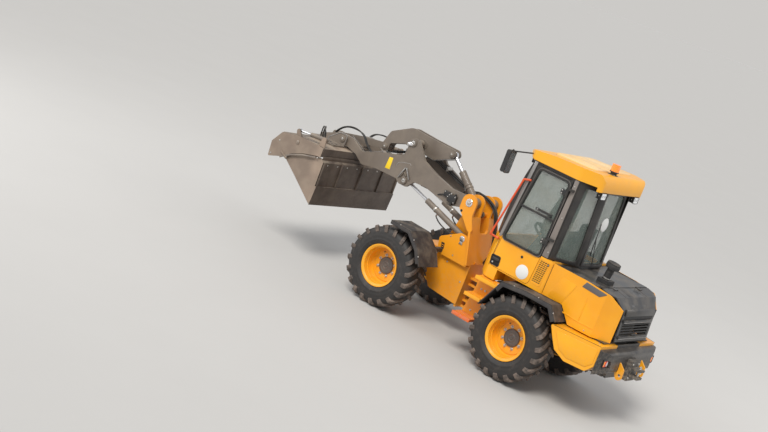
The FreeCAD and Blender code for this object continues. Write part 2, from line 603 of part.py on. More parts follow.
def tilt_link():
    start = Vector(d.crank_front_x, 0, d.crank_front_z)
    end = link_end()
    along = (end - start).normalize()
    up = Vector(-along.z, 0, along.x)
    half = d.link_depth / 2
    width = d.link_width / 2
    points = [start + up * half, start + (end - start) * 0.5 + up * (half + 14), end + up * half,
              end - up * half, start - up * half]
    body = slab("link_body", [(p.x, p.z) for p in points], "-link_width / 2", "link_width")
    solids = [body]
    holes = []
    for tag, p in (("rear", start), ("front", end)):
        solids.append(cross("link_eye_" + tag, p.x, p.z, -width, width, "eye_radius + 4"))
        holes.append(cross("link_hole_" + tag, p.x, p.z, -90, 90, "pin_radius + running_gap"))
    keep("tilt_link", cut("tilt_link", fuse("link_whole", solids), holes))


# Bucket: drawn level from the arm tips' pin, then turned down to the pose at rest

def tipped(label, obj):
    """Keep a bucket piece, turned by the dump angle about the arm tips' pin."""
    keep(label, obj)
    bind(obj, ".Placement.Base.x", "pin_x + arm_tip_x")
    bind(obj, ".Placement.Base.z", "arm_tip_z")
    obj.Placement.Rotation = FreeCAD.Rotation(Y_AXIS, d.dump_angle)
    return obj


def tool_carrier():
    turn = math.radians(d.carrier_angle + d.dump_angle)
    ux, uz = d.carrier_arm * math.cos(turn), d.carrier_arm * math.sin(turn)
    half = d.carrier_half
    ear = [(-70, -66, 60), (100, -60), (100, uz + 60), (60, uz + 60), (-60, 90, 60)]
    tips = both("carrier_tips", [slab("carrier_tip", ear, "arm_outer + 12", "front_plate")])
    upper = [(60, uz - 120), (100, uz - 120), (100, uz + 50), (ux + 30, uz + 62, 50),
             (ux - 58, uz + 62, 50), (ux - 58, uz - 50, 50)]
    ears = both("carrier_ears", [slab("carrier_ear", upper, "link_width / 2 + moving_gap + 4",
                                      "crank_plate")])
    plate = block("carrier_plate", Vector(92, -half, -60), Vector(113 - d.seat_gap, half, uz + 60))
    pins_high = cross("carrier_link_pin", ux, uz, -68, 68, "pin_radius")
    hole = block("carrier_hole", Vector(80, -270, 0), Vector(130, 270, uz - 110))
    relief = block("carrier_relief", Vector(80, -40, uz - 120), Vector(130, 40, uz + 70))
    pins = both("carrier_pins", [cross("carrier_pin", 0, 0, d.arm_outer - d.arm_plate - 14,
                                       d.arm_outer + 12 + d.front_plate, "pin_radius")])
    whole = fuse("carrier_whole", [tips, ears, plate, pins, pins_high])
    tipped("tool_carrier", cut("tool_carrier", whole, [hole, relief]))


def bucket():
    half = d.bucket_half
    wall = d.bucket_wall
    jx, jz = d.jaw_pin_x, d.jaw_pin_z
    # moldboard: bent plate from the spill lip down the back
    back = [(355, 690), (180, 560), (125, 300), (113, -60), (122, -205), (240, -205)]
    moldboard = slab("moldboard", strip(back, wall), "-bucket_half + 1", "2 * bucket_half - 2")
    side = [(355, 690), (575, 676, 20), (487, 432, 40), (390, 290, 60), (311, 93, 40), (256, -126, 30),
            (246, -205), (122, -205), (113, -60), (125, 300), (180, 560)]
    sides = both("bucket_sides", [slab("bucket_side", side, "bucket_half - side_plate",
                                       "side_plate")])
    pins = both("jaw_pins", [cross("jaw_pin", jx, jz, d.jaw_half - d.side_plate - 8, half + 14,
                                   "jaw_pin_radius")])
    slots = both("jaw_slots", [block("jaw_slot", Vector(90, d.jaw_half - d.side_plate - 8, 95),
                                     Vector(160, d.jaw_half + 8, 385))])
    ears = both("jaw_base_ears", [
        slab("jaw_base_ear", [(d.jaw_base_x - 32, d.jaw_base_z - 30, 28),
                              (d.jaw_base_x - 32, d.jaw_base_z + 30, 28), (115, d.jaw_base_z + 60),
                              (115, d.jaw_base_z - 50)], "jaw_cylinder + jaw_barrel_radius + 4", "14"),
        cross("jaw_base_pin", d.jaw_base_x, d.jaw_base_z, d.jaw_cylinder - d.jaw_eye / 2 - 4,
              d.jaw_cylinder + d.jaw_barrel_radius + 14, "jaw_pin_radius")])
    tipped("bucket_back", cut("bucket_back", fuse("bucket_shell", [moldboard, sides, pins, ears]),
                              [slots]))
    # jaw: floor with its cutting edge, side plates inside the bucket's, and their levers
    floor = [(262, -215), (300, -262), (740, -262), (740, -262 + wall), (306, -262 + wall),
             (276, -215)]
    jaw_floor = slab("jaw_floor", floor, "-jaw_half", "2 * jaw_half")
    edge = slab("jaw_edge", [(640, -262 - d.edge_plate), (912, -262 - 8), (912, -262), (640, -262)],
                "-jaw_half", "2 * jaw_half")
    cheek = [(262, -215), (300, -262), (905, -262, 10), (645, 135, 40), (480, 400, 60),
             (380, 330, 60), (jx + 10, jz + 55, 40), (d.jaw_lever_x, d.jaw_lever_z + 28, 26),
             (d.jaw_lever_x - 34, d.jaw_lever_z - 10, 24), (jx - 40, jz - 40, 40), (240, 60, 60),
             (262, -126, 30)]
    cheeks = both("jaw_sides", [slab("jaw_side", cheek, "jaw_half - side_plate", "side_plate")])
    bores = both("jaw_bores", [cross("jaw_bore", jx, jz, d.jaw_half - 60, d.jaw_half + 40,
                                     "jaw_pin_radius + running_gap")])
    tipped("bucket_jaw", cut("bucket_jaw", fuse("jaw_whole", [jaw_floor, edge, cheeks]), [bores]))


# Cab

def mirrored(corners):
    """A plan with its other half; each corner is (x, y, radius) on the left."""
    return [(x, -y, radius) for x, y, radius in corners] + corners[::-1]


NOSE_PLAN = [(-140, 430, 90), (-330, 700, 160)]
CAB_PLAN = mirrored(NOSE_PLAN + [(-1095, 718, 60), (-1310, 290, 60)])
TUB_PLAN = mirrored(NOSE_PLAN + [(-1190, 720, 30)])
CAB_SIDE = [(-185, 900), (-130, 1500, 60), (-430, 2700), (-1270, 2700), (-1320, 1640, 60), (-1320, 900)]


def cab_solid(inset, low, high, plan=CAB_PLAN):
    """The cab's outer form, drawn in by inset, between two heights."""
    shapes = []
    for corners, turn, depth, start in (
            (plan, FreeCAD.Rotation(), Vector(0, 0, high - low), Vector(0, 0, low)),
            (CAB_SIDE, FreeCAD.Rotation(Vector(1, 0, 0), 90), Vector(0, 1600, 0), Vector(0, -800, 0))):
        wire = Part.Wire(Part.__sortEdges__([edge.toShape() for edge in rounded(corners)]))
        if inset:
            wire = wire.makeOffset2D(-inset)
        face = Part.Face(wire)
        face.Placement = FreeCAD.Placement(start, turn)
        shapes.append(face.extrude(depth))
    return shapes[0].common(shapes[1])


def prism(corners, plane, start, depth, inset=0.0):
    """A straight prism through the cab's wall: a window or a door opening."""
    turn, normal = PLANES[plane]
    wire = Part.Wire(Part.__sortEdges__([edge.toShape() for edge in rounded(corners)]))
    if inset:
        wire = wire.makeOffset2D(-inset)
    face = Part.Face(wire)
    face.Placement = FreeCAD.Placement(normal * start, turn)
    return face.extrude(normal * depth)


DOOR = [(-345, 1215, 60), (-480, 2620, 60), (-1030, 2620, 40), (-994, 1600), (-965, 1215, 60)]
DOOR_WINDOW = [(-400, 1600, 50), (-540, 2575, 50), (-985, 2575, 50), (-962, 1600, 50)]
SIDE_WINDOW = [(-1130, 1660, 30), (-1145, 2590, 30), (-1255, 2590, 20), (-1280, 1660, 30)]
FAR_WINDOW = [(-400, 1660, 50), (-540, 2575, 50), (-1030, 2575, 50), (-1010, 1660, 50)]
FRONT_WINDOW = [(-520, 1570, 60), (520, 1570, 60), (520, 2575, 60), (-520, 2575, 60)]
KNUCKLES = (1750, 2400)
KNUCKLE_HEIGHT = 90
LUG_HEIGHT = 30
REAR_WINDOW = [(-235, 1665, 50), (235, 1665, 50), (235, 2580, 50), (-235, 2580, 50)]


def window_prisms(inset):
    """Every opening for fixed glass, drawn in by inset."""
    return [prism(SIDE_WINDOW, "side", 310, 500, inset), prism(SIDE_WINDOW, "side", -810, 500, inset),
            prism(FAR_WINDOW, "side", -900, 500, inset), prism(FRONT_WINDOW, "front", -620, 620, inset),
            prism(REAR_WINDOW, "front", -1700, 500, inset)]


def wheel_arches(shelf):
    """The room over both rear wheels, where the tub's floor steps up; shelf is its plate."""
    inner, top = d.arch_inner - shelf, d.arch_top + shelf
    return [Part.makeBox(1200 + shelf, 500, 300, Vector(d.arch_front - 1200, y, top - 300))
            for y in (inner, -inner - 500)]


def cab():
    low, line, top = d.cab_low, d.window_line, d.cab_top
    doorway = prism(DOOR, "side", 400, 500)
    openings = window_prisms(0)
    outer = cab_solid(0, low, line, TUB_PLAN).cut(wheel_arches(0))
    inner = cab_solid(d.cab_wall, low + d.cab_floor, line + 10, TUB_PLAN)
    inner = inner.cut(wheel_arches(d.arch_shelf))
    tub = outer.cut(inner).cut([doorway, openings[3]])
    keep("cab_tub", feature("cab_tub", tub))
    frame = cab_solid(0, line, top).cut(cab_solid(d.cab_wall, line - 10, top - 60))
    hatch = Part.makeBox(700, 800, 200, Vector(-1150, -400, top - 150))
    frame = frame.cut(openings + [doorway, hatch])
    # each knuckle of the door turns under a lug of the frame
    axis_x, axis_y, radius = d.door_hinge_x, d.door_hinge_y, d.hinge_knuckle
    lugs = []
    for z in KNUCKLES:
        base = z + KNUCKLE_HEIGHT + d.seat_gap
        lugs += [Part.makeCylinder(radius, LUG_HEIGHT, Vector(axis_x, axis_y, base)),
                 Part.makeBox(44, 2 * radius, LUG_HEIGHT, Vector(axis_x - 44, axis_y - radius, base)),
                 Part.makeBox(34, 65, LUG_HEIGHT, Vector(axis_x - 78, axis_y + radius - 65, base))]
    keep("cab_frame", feature("cab_frame", frame.multiFuse(lugs)))
    sheet_of_glass = cab_solid(d.glass_inset, low, top).cut(
        cab_solid(d.glass_inset + d.glass_plate, low, top))
    panes = [sheet_of_glass.common(opening) for opening in window_prisms(d.seat_gap)]
    keep("cab_glass", feature("cab_glass", Part.makeCompound(
        [solid for pane in panes for solid in pane.Solids])))
    wall = cab_solid(0, low, top).cut(cab_solid(d.cab_wall, low - 10, top + 10))
    leaf = wall.common(prism(DOOR, "side", 400, 500, d.door_gap))
    knuckles = [Part.makeCylinder(radius, KNUCKLE_HEIGHT, Vector(axis_x, axis_y, z)) for z in KNUCKLES]
    tabs = []
    for z, start in zip(KNUCKLES, (-990, -1010)):
        tabs.append(Part.makeBox(24, 50, 60, Vector(start, 692, z + 15)))
        tabs.append(Part.makeBox(40, 13, 60, Vector(d.door_hinge_x, 729, z + 15)))
    leaf = leaf.multiFuse(knuckles + tabs).cut(prism(DOOR_WINDOW, "side", 400, 500))
    keep("door_left", feature("door_left", leaf))
    keep("door_glass", feature("door_glass", sheet_of_glass.common(
        prism(DOOR_WINDOW, "side", 400, 500, d.seat_gap))))


def roof():
    plan = mirrored([(-230, 520, 120), (-380, 720, 120), (-1080, 735, 140), (-1330, 560, 90)])
    under = d.cab_top + d.seat_gap
    side = [(-228, 2700, 20), (-290, 2752, 60), (-700, 2800, 400), (-1050, 2812), (-1285, 2812, 60),
            (-1345, 2715, 40), (-1330, 2600, 20), (-1280, 2600), (-1280, under), (-400, under)]
    outline = slab("roof_plan", plan, "cab_top - 60", "260", "top")
    profile = slab("roof_profile", side, "-800", "1600")
    common = doc.addObject("Part::Common", "roof_body")
    common.Base = outline
    common.Tool = profile
    hollow = block("roof_hollow", Vector(-1180, -560, d.cab_top - 20), Vector(-430, 560, d.cab_top + 90))
    shell = cut("roof_shell", common, [hollow])
    keep("cab_roof", compound("cab_roof", shell))
    return shell


def cab_inside():
    floor = d.cab_low + d.cab_floor + d.seat_gap
    pedestal = block("seat_pedestal", Vector(-1045, -170, floor), Vector(-745, 170, floor + 330))
    shell = slab("seat_shell", [(-1105, floor + 300, 40), (-595, floor + 310, 40),
                                (-595, floor + 410, 40), (-975, floor + 400, 50),
                                (-1055, floor + 980, 50), (-1185, floor + 980, 50)], "-250", "500")
    keep("driver_seat", fuse("driver_seat", [pedestal, shell]))
    column = slab("column_body", [(-420, floor), (-300, floor), (-520, floor + 610, 20),
                                  (-600, floor + 590, 20)], "-60", "120")
    wheel = doc.addObject("Part::Torus", "steering_wheel_rim")
    wheel.Radius1 = 185
    wheel.Radius2 = 15
    turn = FreeCAD.Rotation(Y_AXIS, -28)
    wheel.Placement = FreeCAD.Placement(Vector(-578, 0, floor + 640), turn)
    spoke = block("steering_spoke", Vector(-180, -22, -8), Vector(180, 22, 8))
    spoke.Placement = FreeCAD.Placement(
        Vector(-578, 0, floor + 640) + turn.multVec(Vector(-180, -22, -8)), turn)
    boss = rod("steering_boss", Vector(-540, 0, floor + 560), Vector(-582, 0, floor + 650), "eye_radius")
    keep("steering_column", fuse("steering_column", [column, wheel, spoke, boss]))
    console = slab("console_body", [(-560, floor), (-560, floor + 380, 40), (-880, floor + 500, 60),
                                    (-1130, floor + 500), (-1130, floor)], "-450", "170")
    keep("side_console", console)


# Engine cover, lid, grille and rear pieces

def engine_cover():
    rear = d.cover_rear
    front = d.cover_front
    top_front = 1612
    deck = d.chassis_top + d.deck_plate + d.seat_gap
    wall = d.cover_wall
    # plan of one side, from the cab back, with its bevelled rear corner
    plan = [(front, d.cover_half), (-1960, 657), (-2150, 470)]

    def inside(name, gap, low, high):
        """The room between both side panels."""
        line = [(front, d.cover_half - gap), (-1960 + 0.3 * gap, 657 - gap), (-2150, 470 - 1.4 * gap)]
        rear_most = [(-2300, line[-1][1])]
        points = line + rear_most
        return slab(name, points + [(x, -y) for x, y in points[::-1]], low, high, "top")
    # yellow side panels, from the cab back to the grille
    outline = [(front, 1203), (-1480, 1203, 30), (-1640, deck), (-2300, deck), (-2300, 1400),
               (-2140, 1440), (-1985, 1574, 120), (-1660, 1604, 300), (front, top_front)]
    panel = doc.addObject("Part::Common", "panel_body")
    panel.Base = slab("panel", strip(plan, wall), "1", "2000", "top")
    panel.Tool = slab("panel_side", outline, "200", "600")
    foot = slab("panel_foot", [(-1660, 560), (-1660, 668), (-1950, 650), (-1950, 560)],
                "chassis_top + deck_plate + seat_gap", "10", "top")
    keep("engine_side_panels", both("panels", [panel, foot]))
    # fixed black cover in front of the lid, carrying the air intake
    hinge = d.lid_hinge_x
    cowl = doc.addObject("Part::Common", "cowl_plate")
    cowl.Base = block("cowl_level", Vector(hinge + d.lid_gap, -800, 1588), Vector(front, 800, 1600))
    cowl.Tool = inside("cowl_room", wall + d.seat_gap, "1500", "200")
    ribs = both("cowl_knuckles", [
        cross("cowl_knuckle", hinge, d.lid_hinge_z, 384, 444, "hinge_knuckle - 5"),
        block("cowl_tab", Vector(hinge + 1, 384, 1590), Vector(hinge + 20, 444, 1602))])
    keep("engine_cowl", fuse("engine_cowl", [cowl, ribs]))
    engine = block("engine_body", Vector(-2060, -230, 700), Vector(-1600, 230, 1460))
    feet = both("engine_feet", [block("engine_foot", Vector(-1900, 200, 700),
                                      Vector(-1800, d.chassis_half - d.chassis_plate, 780))])
    keep("engine_block", fuse("engine_block", [engine, feet]))
    # lid: top, and the rear face round the grille
    line = [(hinge - d.lid_gap, 1600), (-2040, 1560), (rear + 8, 1425), (rear - 20, deck + 30)]
    lid = doc.addObject("Part::Common", "lid_shell")
    lid.Base = slab("lid_bend", strip(line, wall), "-800", "1600")
    lid.Tool = inside("lid_room", wall + d.lid_gap, "900", "800")
    opening = block("grille_opening", Vector(rear - 60, -400, 1100), Vector(rear + 40, 400, 1370))
    knuckles = both("lid_knuckles", [
        cross("lid_knuckle", hinge, d.lid_hinge_z, 300, 384 - d.seat_gap, "hinge_knuckle - 5"),
        block("lid_tab", Vector(hinge - 60, 300, 1588), Vector(hinge - 2, 380, 1603))])
    keep("engine_lid", fuse("engine_lid", [cut("lid_open", lid, [opening]), knuckles]))
    grille = slab("grille_plate", strip([(rear + 3, 1368.5), (rear - 13, 1101.5)], wall), "-399.7", "799.4")
    slots = [block("grille_slot_%d" % z, Vector(rear - 60, -370, z), Vector(rear + 60, 370, z + 20))
             for z in range(1124, 1340, 36)]
    keep("rear_grille", cut("rear_grille", grille, slots))
    box = block("stack_box", Vector(-1790, 220, 1600 + d.seat_gap), Vector(-1630, 380, 1650))
    pipe = rod("stack_pipe", Vector(-1700, 300, 1640), Vector(-1725, 300, 1810), "eye_radius")
    cap = rod("stack_cap", Vector(-1725, 300, 1800), Vector(-1733, 300, 1870), "hub_cap_radius - 20")
    keep("air_intake", fuse("air_intake", [box, pipe, cap]))


def rear_end():
    rear = d.chassis_rear
    outline = [(-1546, 995, 20), (-1700, 725, 30), (-1850, 642, 30), (rear + 80, 642, 30), (rear, 740, 20),
               (rear, 995)]
    weights = doc.addObject("Part::Common", "weight")
    weights.Base = slab("weight_side", outline, "chassis_half + seat_gap",
                        "weight_half - chassis_half - seat_gap")
    weights.Tool = slab("weight_plan", [(-1500, 200), (-1500, d.weight_half), (-1620, d.weight_half, 60),
                                        (rear, 745, 20), (rear, 200)], "600", "500", "top")
    keep("counterweight", both("counterweight", [weights]))
    front = rear - d.seat_gap
    bar = doc.addObject("Part::Common", "bumper_whole")
    bar.Base = slab("bumper_body", [(front, 640), (front, 960), (rear - 100, 940, 40), (rear - 120, 700, 60)],
                    "-800", "1600")
    bar.Tool = slab("bumper_plan", [(front, -740), (rear - 40, -740, 15), (rear - 120, -560, 60),
                                    (rear - 120, 560, 60), (rear - 40, 740, 15), (front, 740)],
                    "600", "400", "top")
    recess = both("lamp_recesses", [block("lamp_recess", Vector(rear - 150, 560, 760),
                                          Vector(rear - 50, 690, 850))])
    bumper = cut("bumper_bar", bar, [recess])
    keep("rear_bumper", compound("rear_bumper", bumper))
    lamps = both("lamp_pair", [block("tail_lamp", Vector(rear - 78, 575, 768),
                                     Vector(rear - 50 - d.seat_gap, 675, 842))])
    keep("tail_lamps", lamps)
    ring = slab("ring_plate", [(-2270, 700), (-2290, 655, 30), (-2330, 600, 40), (-2390, 640, 40),
                               (-2380, 760, 40), (-2270, 850)], "285", "22")
    ring_hole = cross("ring_hole", -2346, 675, 200, 400, "ring_radius")
    keep("tow_rings", both("tow_rings", [cut("ring", ring, [ring_hole, bumper])]))
    body = block("hitch_body", Vector(-2370, -110, 600), Vector(-2285, 110, 860))
    jaws = [block("hitch_jaw_%d" % z, Vector(-2480, -70, z), Vector(-2360, 70, z + 28))
            for z in (660, 760)]
    hole = rod("hitch_hole", Vector(-2440, 0, 600), Vector(-2440, 0, 860), "hitch_pin_radius")
    keep("tow_hitch", cut("tow_hitch", fuse("hitch_whole", [body] + jaws), [hole, bumper]))


def fenders():
    """Each fender is a bent strip with an inner web, carried by stays from its frame."""
    wall = d.fender_wall
    rear_line = [(-545, 760), (-747, 1150), (-1095, 1185), (-1466, 1185), (-1586, 1023)]
    rear_chord = [(-1440, 930), (-700, 900)]
    front_line = [(460, 790), (567, 980), (769, 1150), (1090, 1160)]
    front_chord = [(1085, 1095), (790, 1075), (630, 930)]
    for name, line, chord, side, half, stays in (
            ("rear_fenders", rear_line, rear_chord, -wall, d.chassis_half, (-760, -1490)),
            ("front_fenders", front_line, front_chord, wall,
             d.lift_centre + d.eye_width / 2 + 30 + d.front_plate, (600,))):
        z = 930 if name == "rear_fenders" else 950
        solids = [slab(name + "_strip", strip(line, side), "fender_inner",
                       "fender_outer - fender_inner"),
                  slab(name + "_web", line + chord, "fender_inner", "fender_wall")]
        solids += [block(name + "_stay_%d" % abs(x), Vector(x, half + d.seat_gap, z),
                         Vector(x + 60, d.fender_inner + 4, z + 50)) for x in stays]
        keep(name, both(name, solids))


def access():
    # columns: rear x, front x, inner y, outer y, top z of a tread
    tyre = d.tyre_radius - d.wheelbase / 2
    treads = [(tyre - 130, -300, 640, 800, 1040), (tyre + 10, -250, 640, 830, 795),
              (tyre + 30, -200, 640, 850, 505)]
    solids = [block("tread_%d" % z, Vector(a, b, z - 24), Vector(c, e, z))
              for a, c, b, e, z in treads]
    hanger = slab("step_hanger", [(tyre + 20, 481), (-200, 481), (-245, 700), (-290, 1050),
                                  (tyre - 130, 1050), (tyre - 130, 1016), (tyre + 5, 790)], "628", "14")
    arm = block("step_arm", Vector(-440, d.chassis_half + d.seat_gap, 840), Vector(-340, 634, 900))
    keep("cab_steps", both("cab_steps", solids + [hanger, arm]))
    rail_points = [Vector(-345, 690, 1560), Vector(-240, 745, 1580), Vector(-395, 745, 2380),
                   Vector(-480, 715, 2400)]
    rails = [rod("rail_%d" % i, a, b, "hinge_knuckle") for i, (a, b) in
             enumerate(zip(rail_points, rail_points[1:]))]
    balls = []
    for i, p in enumerate(rail_points[1:3]):
        ball = doc.addObject("Part::Sphere", "rail_bend_%d" % i)
        ball.Placement.Base = p
        bind(ball, "Radius", "hinge_knuckle")
        balls.append(ball)
    hull = feature("cab_hull", cab_solid(0, d.cab_low, d.cab_top))
    keep("grab_rails", both("grab_rails", [cut("rail_left", fuse("rail_line", rails + balls), [hull])]))


def lamps_and_mirrors(cab_roof):
    arm = rod("mirror_arm", Vector(-360, 640, 2710), Vector(-170, 860, 2650), "hinge_knuckle - 4")
    head = slab("mirror_head", [(-190, 2370, 25), (-130, 2370, 25), (-130, 2660, 25), (-190, 2660, 25)],
                "800", "130")
    keep("mirrors", both("mirrors", [cut("mirror_left", fuse("mirror_whole", [arm, head]), [cab_roof])]))
    lamps = []
    for tag, x, y, top in (("front", -325, 480, 2661.8), ("rear", -1297, 450, 2600 - d.seat_gap)):
        lamps.append(block("work_lamp_" + tag, Vector(x - 34, y - 60, top - 80),
                           Vector(x + 34, y + 60, top)))
    keep("work_lamps", both("work_lamps", lamps))
    base = rod("beacon_base", Vector(-1205, 180, 2812 + d.seat_gap), Vector(-1205, 180, 2850),
               "eye_radius - 10")
    dome = rod("beacon_dome", Vector(-1205, 180, 2850), Vector(-1205, 180, 2950), "eye_radius + 8")
    keep("beacon", fuse("beacon", [base, dome]))


def main():
    wheels()
    axle("front_axle", d.wheelbase / 2, d.front_half - d.front_plate - 20, d.front_half + 20)
    axle("rear_axle", -d.wheelbase / 2, d.chassis_half - d.chassis_plate - 20, d.chassis_half + 20)
    rear_chassis()
    front_frame()
    lift_arms()
    bell_crank()
    tilt_link()
    tool_carrier()
    bucket()
    cylinders()
    drive_shafts()
    cab()
    cab_roof = roof()
    cab_inside()
    engine_cover()
    rear_end()
    fenders()
    access()
    lamps_and_mirrors(cab_roof)
    doc.recompute()
    write()


def write():
    os.makedirs("parts", exist_ok=True)
    for obj in NODES:
        bound = [path for path, _ in obj.ExpressionEngine]
        if ".Placement.Base.x" not in bound:
            obj.Placement.Base.x = obj.Placement.Base.x + d.pin_x
    doc.recompute()
    bad = [o.Name for o in doc.Objects if "Invalid" in o.State or "Error" in o.State]
    assert not bad, bad
    for obj in NODES:
        assert not obj.Shape.isNull() and obj.Shape.isValid(), obj.Label
        obj.Shape.exportStep(os.path.join("parts", obj.Label + ".step"))


main()
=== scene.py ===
import bpy
import bmesh
import json
import math
from mathutils import Matrix, Vector


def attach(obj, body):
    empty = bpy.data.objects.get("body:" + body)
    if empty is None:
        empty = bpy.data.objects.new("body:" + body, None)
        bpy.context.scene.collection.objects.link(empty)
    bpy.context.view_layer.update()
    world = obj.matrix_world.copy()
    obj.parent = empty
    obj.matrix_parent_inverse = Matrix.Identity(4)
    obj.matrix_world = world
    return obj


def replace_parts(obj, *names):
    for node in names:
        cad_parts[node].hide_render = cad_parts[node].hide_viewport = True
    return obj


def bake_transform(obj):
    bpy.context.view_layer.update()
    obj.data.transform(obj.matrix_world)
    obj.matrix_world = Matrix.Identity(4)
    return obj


# A compact articulated wheel loader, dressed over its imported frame. Metres, with places
# given from the articulation pin on the ground: x forward, y left, z up.

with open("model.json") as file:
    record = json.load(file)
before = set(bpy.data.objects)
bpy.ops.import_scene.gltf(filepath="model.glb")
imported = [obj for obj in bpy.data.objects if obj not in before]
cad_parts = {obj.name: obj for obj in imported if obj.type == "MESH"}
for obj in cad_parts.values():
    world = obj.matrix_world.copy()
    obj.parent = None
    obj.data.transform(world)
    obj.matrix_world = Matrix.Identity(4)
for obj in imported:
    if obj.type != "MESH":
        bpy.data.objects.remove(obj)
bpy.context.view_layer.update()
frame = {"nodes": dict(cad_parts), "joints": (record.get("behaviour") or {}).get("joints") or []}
NODES = frame["nodes"]
JOINTS = {joint["name"]: joint for joint in frame["joints"]}
PIN = Vector((JOINTS["steer"]["pos_m"][0], 0, 0))


def at(x, y, z):
    """A place in the row frame from one given from the articulation pin."""
    return PIN + Vector((x, y, z))


# Shader helpers

class Shader:
    """A material's node tree with short calls for the nodes that the finishes share."""

    def __init__(self, name):
        self.material = bpy.data.materials.new(name)
        self.material.use_nodes = True
        self.tree = self.material.node_tree
        self.tree.nodes.clear()
        self.out = self.node("ShaderNodeOutputMaterial")
        self.bsdf = self.node("ShaderNodeBsdfPrincipled")
        self.link(self.bsdf.outputs[0], self.out.inputs["Surface"])
        self.place = self.node("ShaderNodeTexCoord").outputs["Object"]

    def node(self, kind, **values):
        node = self.tree.nodes.new(kind)
        for name, value in values.items():
            setattr(node, name, value)
        return node

    def link(self, source, target):
        self.tree.links.new(source, target)

    def plug(self, socket, value):
        """Link a socket, or set its value."""
        if isinstance(value, bpy.types.NodeSocket):
            self.link(value, socket)
        else:
            socket.default_value = value

    def feed(self, node, **values):
        """Plug a node's inputs by name; an underscore stands for a space."""
        for name, value in values.items():
            self.plug(node.inputs[name.replace("_", " ")], value)

    def look(self, **values):
        """Feed the surface itself."""
        self.feed(self.bsdf, **values)

    def noise(self, scale, detail=4.0, roughness=0.55, stretch=None, distortion=0.0):
        place = self.place
        if stretch:
            mapping = self.node("ShaderNodeMapping")
            self.feed(mapping, Scale=stretch, Vector=place)
            place = mapping.outputs[0]
        node = self.node("ShaderNodeTexNoise")
        self.feed(node, Scale=scale, Detail=detail, Roughness=roughness, Distortion=distortion, Vector=place)
        return node.outputs["Fac"]

    def ramp(self, fac, low, high, start=0.0, end=1.0):
        """A smooth step of a value from low to high."""
        node = self.node("ShaderNodeMapRange", interpolation_type="SMOOTHSTEP")
        self.feed(node, Value=fac, From_Min=low, From_Max=high, To_Min=start, To_Max=end)
        return node.outputs[0]

    def maths(self, operation, a, b=0.0, clamp=False):
        node = self.node("ShaderNodeMath", operation=operation, use_clamp=clamp)
        self.plug(node.inputs[0], a)
        self.plug(node.inputs[1], b)
        return node.outputs[0]

    def times(self, a, b, clamp=False):
        return self.maths("MULTIPLY", a, b, clamp)

    def plus(self, a, b):
        return self.maths("ADD", a, b)

    def mix(self, fac, a, b):
        node = self.node("ShaderNodeMix", data_type="RGBA")
        self.feed(node, Factor=fac, A=a, B=b)
        return node.outputs["Result"]

    def upward(self):
        """How far a surface faces up, from minus one to one."""
        normal = self.node("ShaderNodeNewGeometry").outputs["Normal"]
        split = self.node("ShaderNodeSeparateXYZ")
        self.link(normal, split.inputs[0])
        return split.outputs["Z"]

    def height(self):
        split = self.node("ShaderNodeSeparateXYZ")
        self.link(self.place, split.inputs[0])
        return split.outputs["Z"]

    def edges(self, radius):
        """One on outer and inner edges within a radius, nought on flat faces."""
        bevel = self.node("ShaderNodeBevel", samples=3)
        self.feed(bevel, Radius=radius)
        normal = self.node("ShaderNodeNewGeometry").outputs["Normal"]
        dot = self.node("ShaderNodeVectorMath", operation="DOT_PRODUCT")
        self.link(bevel.outputs[0], dot.inputs[0])
        self.link(normal, dot.inputs[1])
        return self.ramp(dot.outputs["Value"], 0.995, 0.9)

    def bump(self, height, strength, distance, rounding=0.0):
        node = self.node("ShaderNodeBump")
        self.feed(node, Strength=strength, Distance=distance, Height=height)
        if rounding:
            bevel = self.node("ShaderNodeBevel", samples=4)
            self.feed(bevel, Radius=rounding)
            self.feed(node, Normal=bevel.outputs[0])
        self.look(Normal=node.outputs[0])


def rgba(colour):
    return (*colour, 1.0)


DUST = (0.4, 0.33, 0.25)
BARE = (0.22, 0.17, 0.13)
TREAD_DUST = (0.26, 0.2, 0.165)


def painted(name, colour, shade, rough=0.38, dust=0.35, wear=0.5, rounding=0.004, grime=0.0, metallic=0.0):
    """Sprayed paint with slow colour drift, dust where it faces up, and rubbed edges."""
    s = Shader(name)
    drift = s.noise(1.7, 3)
    speckle = s.noise(34, 5, 0.65)
    fine = s.noise(420, 2)
    base = s.mix(s.ramp(drift, 0.35, 0.7), rgba(colour), rgba(shade))
    patches = s.noise(5.5, 6, 0.62, distortion=0.4)
    lies = s.ramp(s.upward(), -0.1, 0.95, 0.25, 1.0)
    cover = s.times(s.ramp(patches, 0.36, 0.72), lies)
    cover = s.times(cover, dust, True)
    if grime:
        low = s.ramp(s.height(), 1.3, 0.3)
        splash = s.times(s.times(low, s.ramp(speckle, 0.4, 0.62)), grime)
        cover = s.maths("MAXIMUM", cover, splash)
    base = s.mix(cover, base, rgba(DUST))
    rubbed = s.times(s.edges(rounding * 1.6), s.ramp(speckle, 0.52, 0.66))
    rubbed = s.times(rubbed, wear, True)
    base = s.mix(rubbed, base, rgba(BARE))
    s.look(Base_Color=base)
    gloss = s.ramp(s.plus(cover, s.times(fine, 0.15)), 0.0, 1.0, rough, 0.85)
    s.look(Roughness=gloss)
    s.look(Metallic=metallic)
    s.look(Coat_Weight=0.12)
    s.bump(s.plus(s.times(speckle, 0.4), fine), 0.25, 0.0006, rounding)
    return s.material


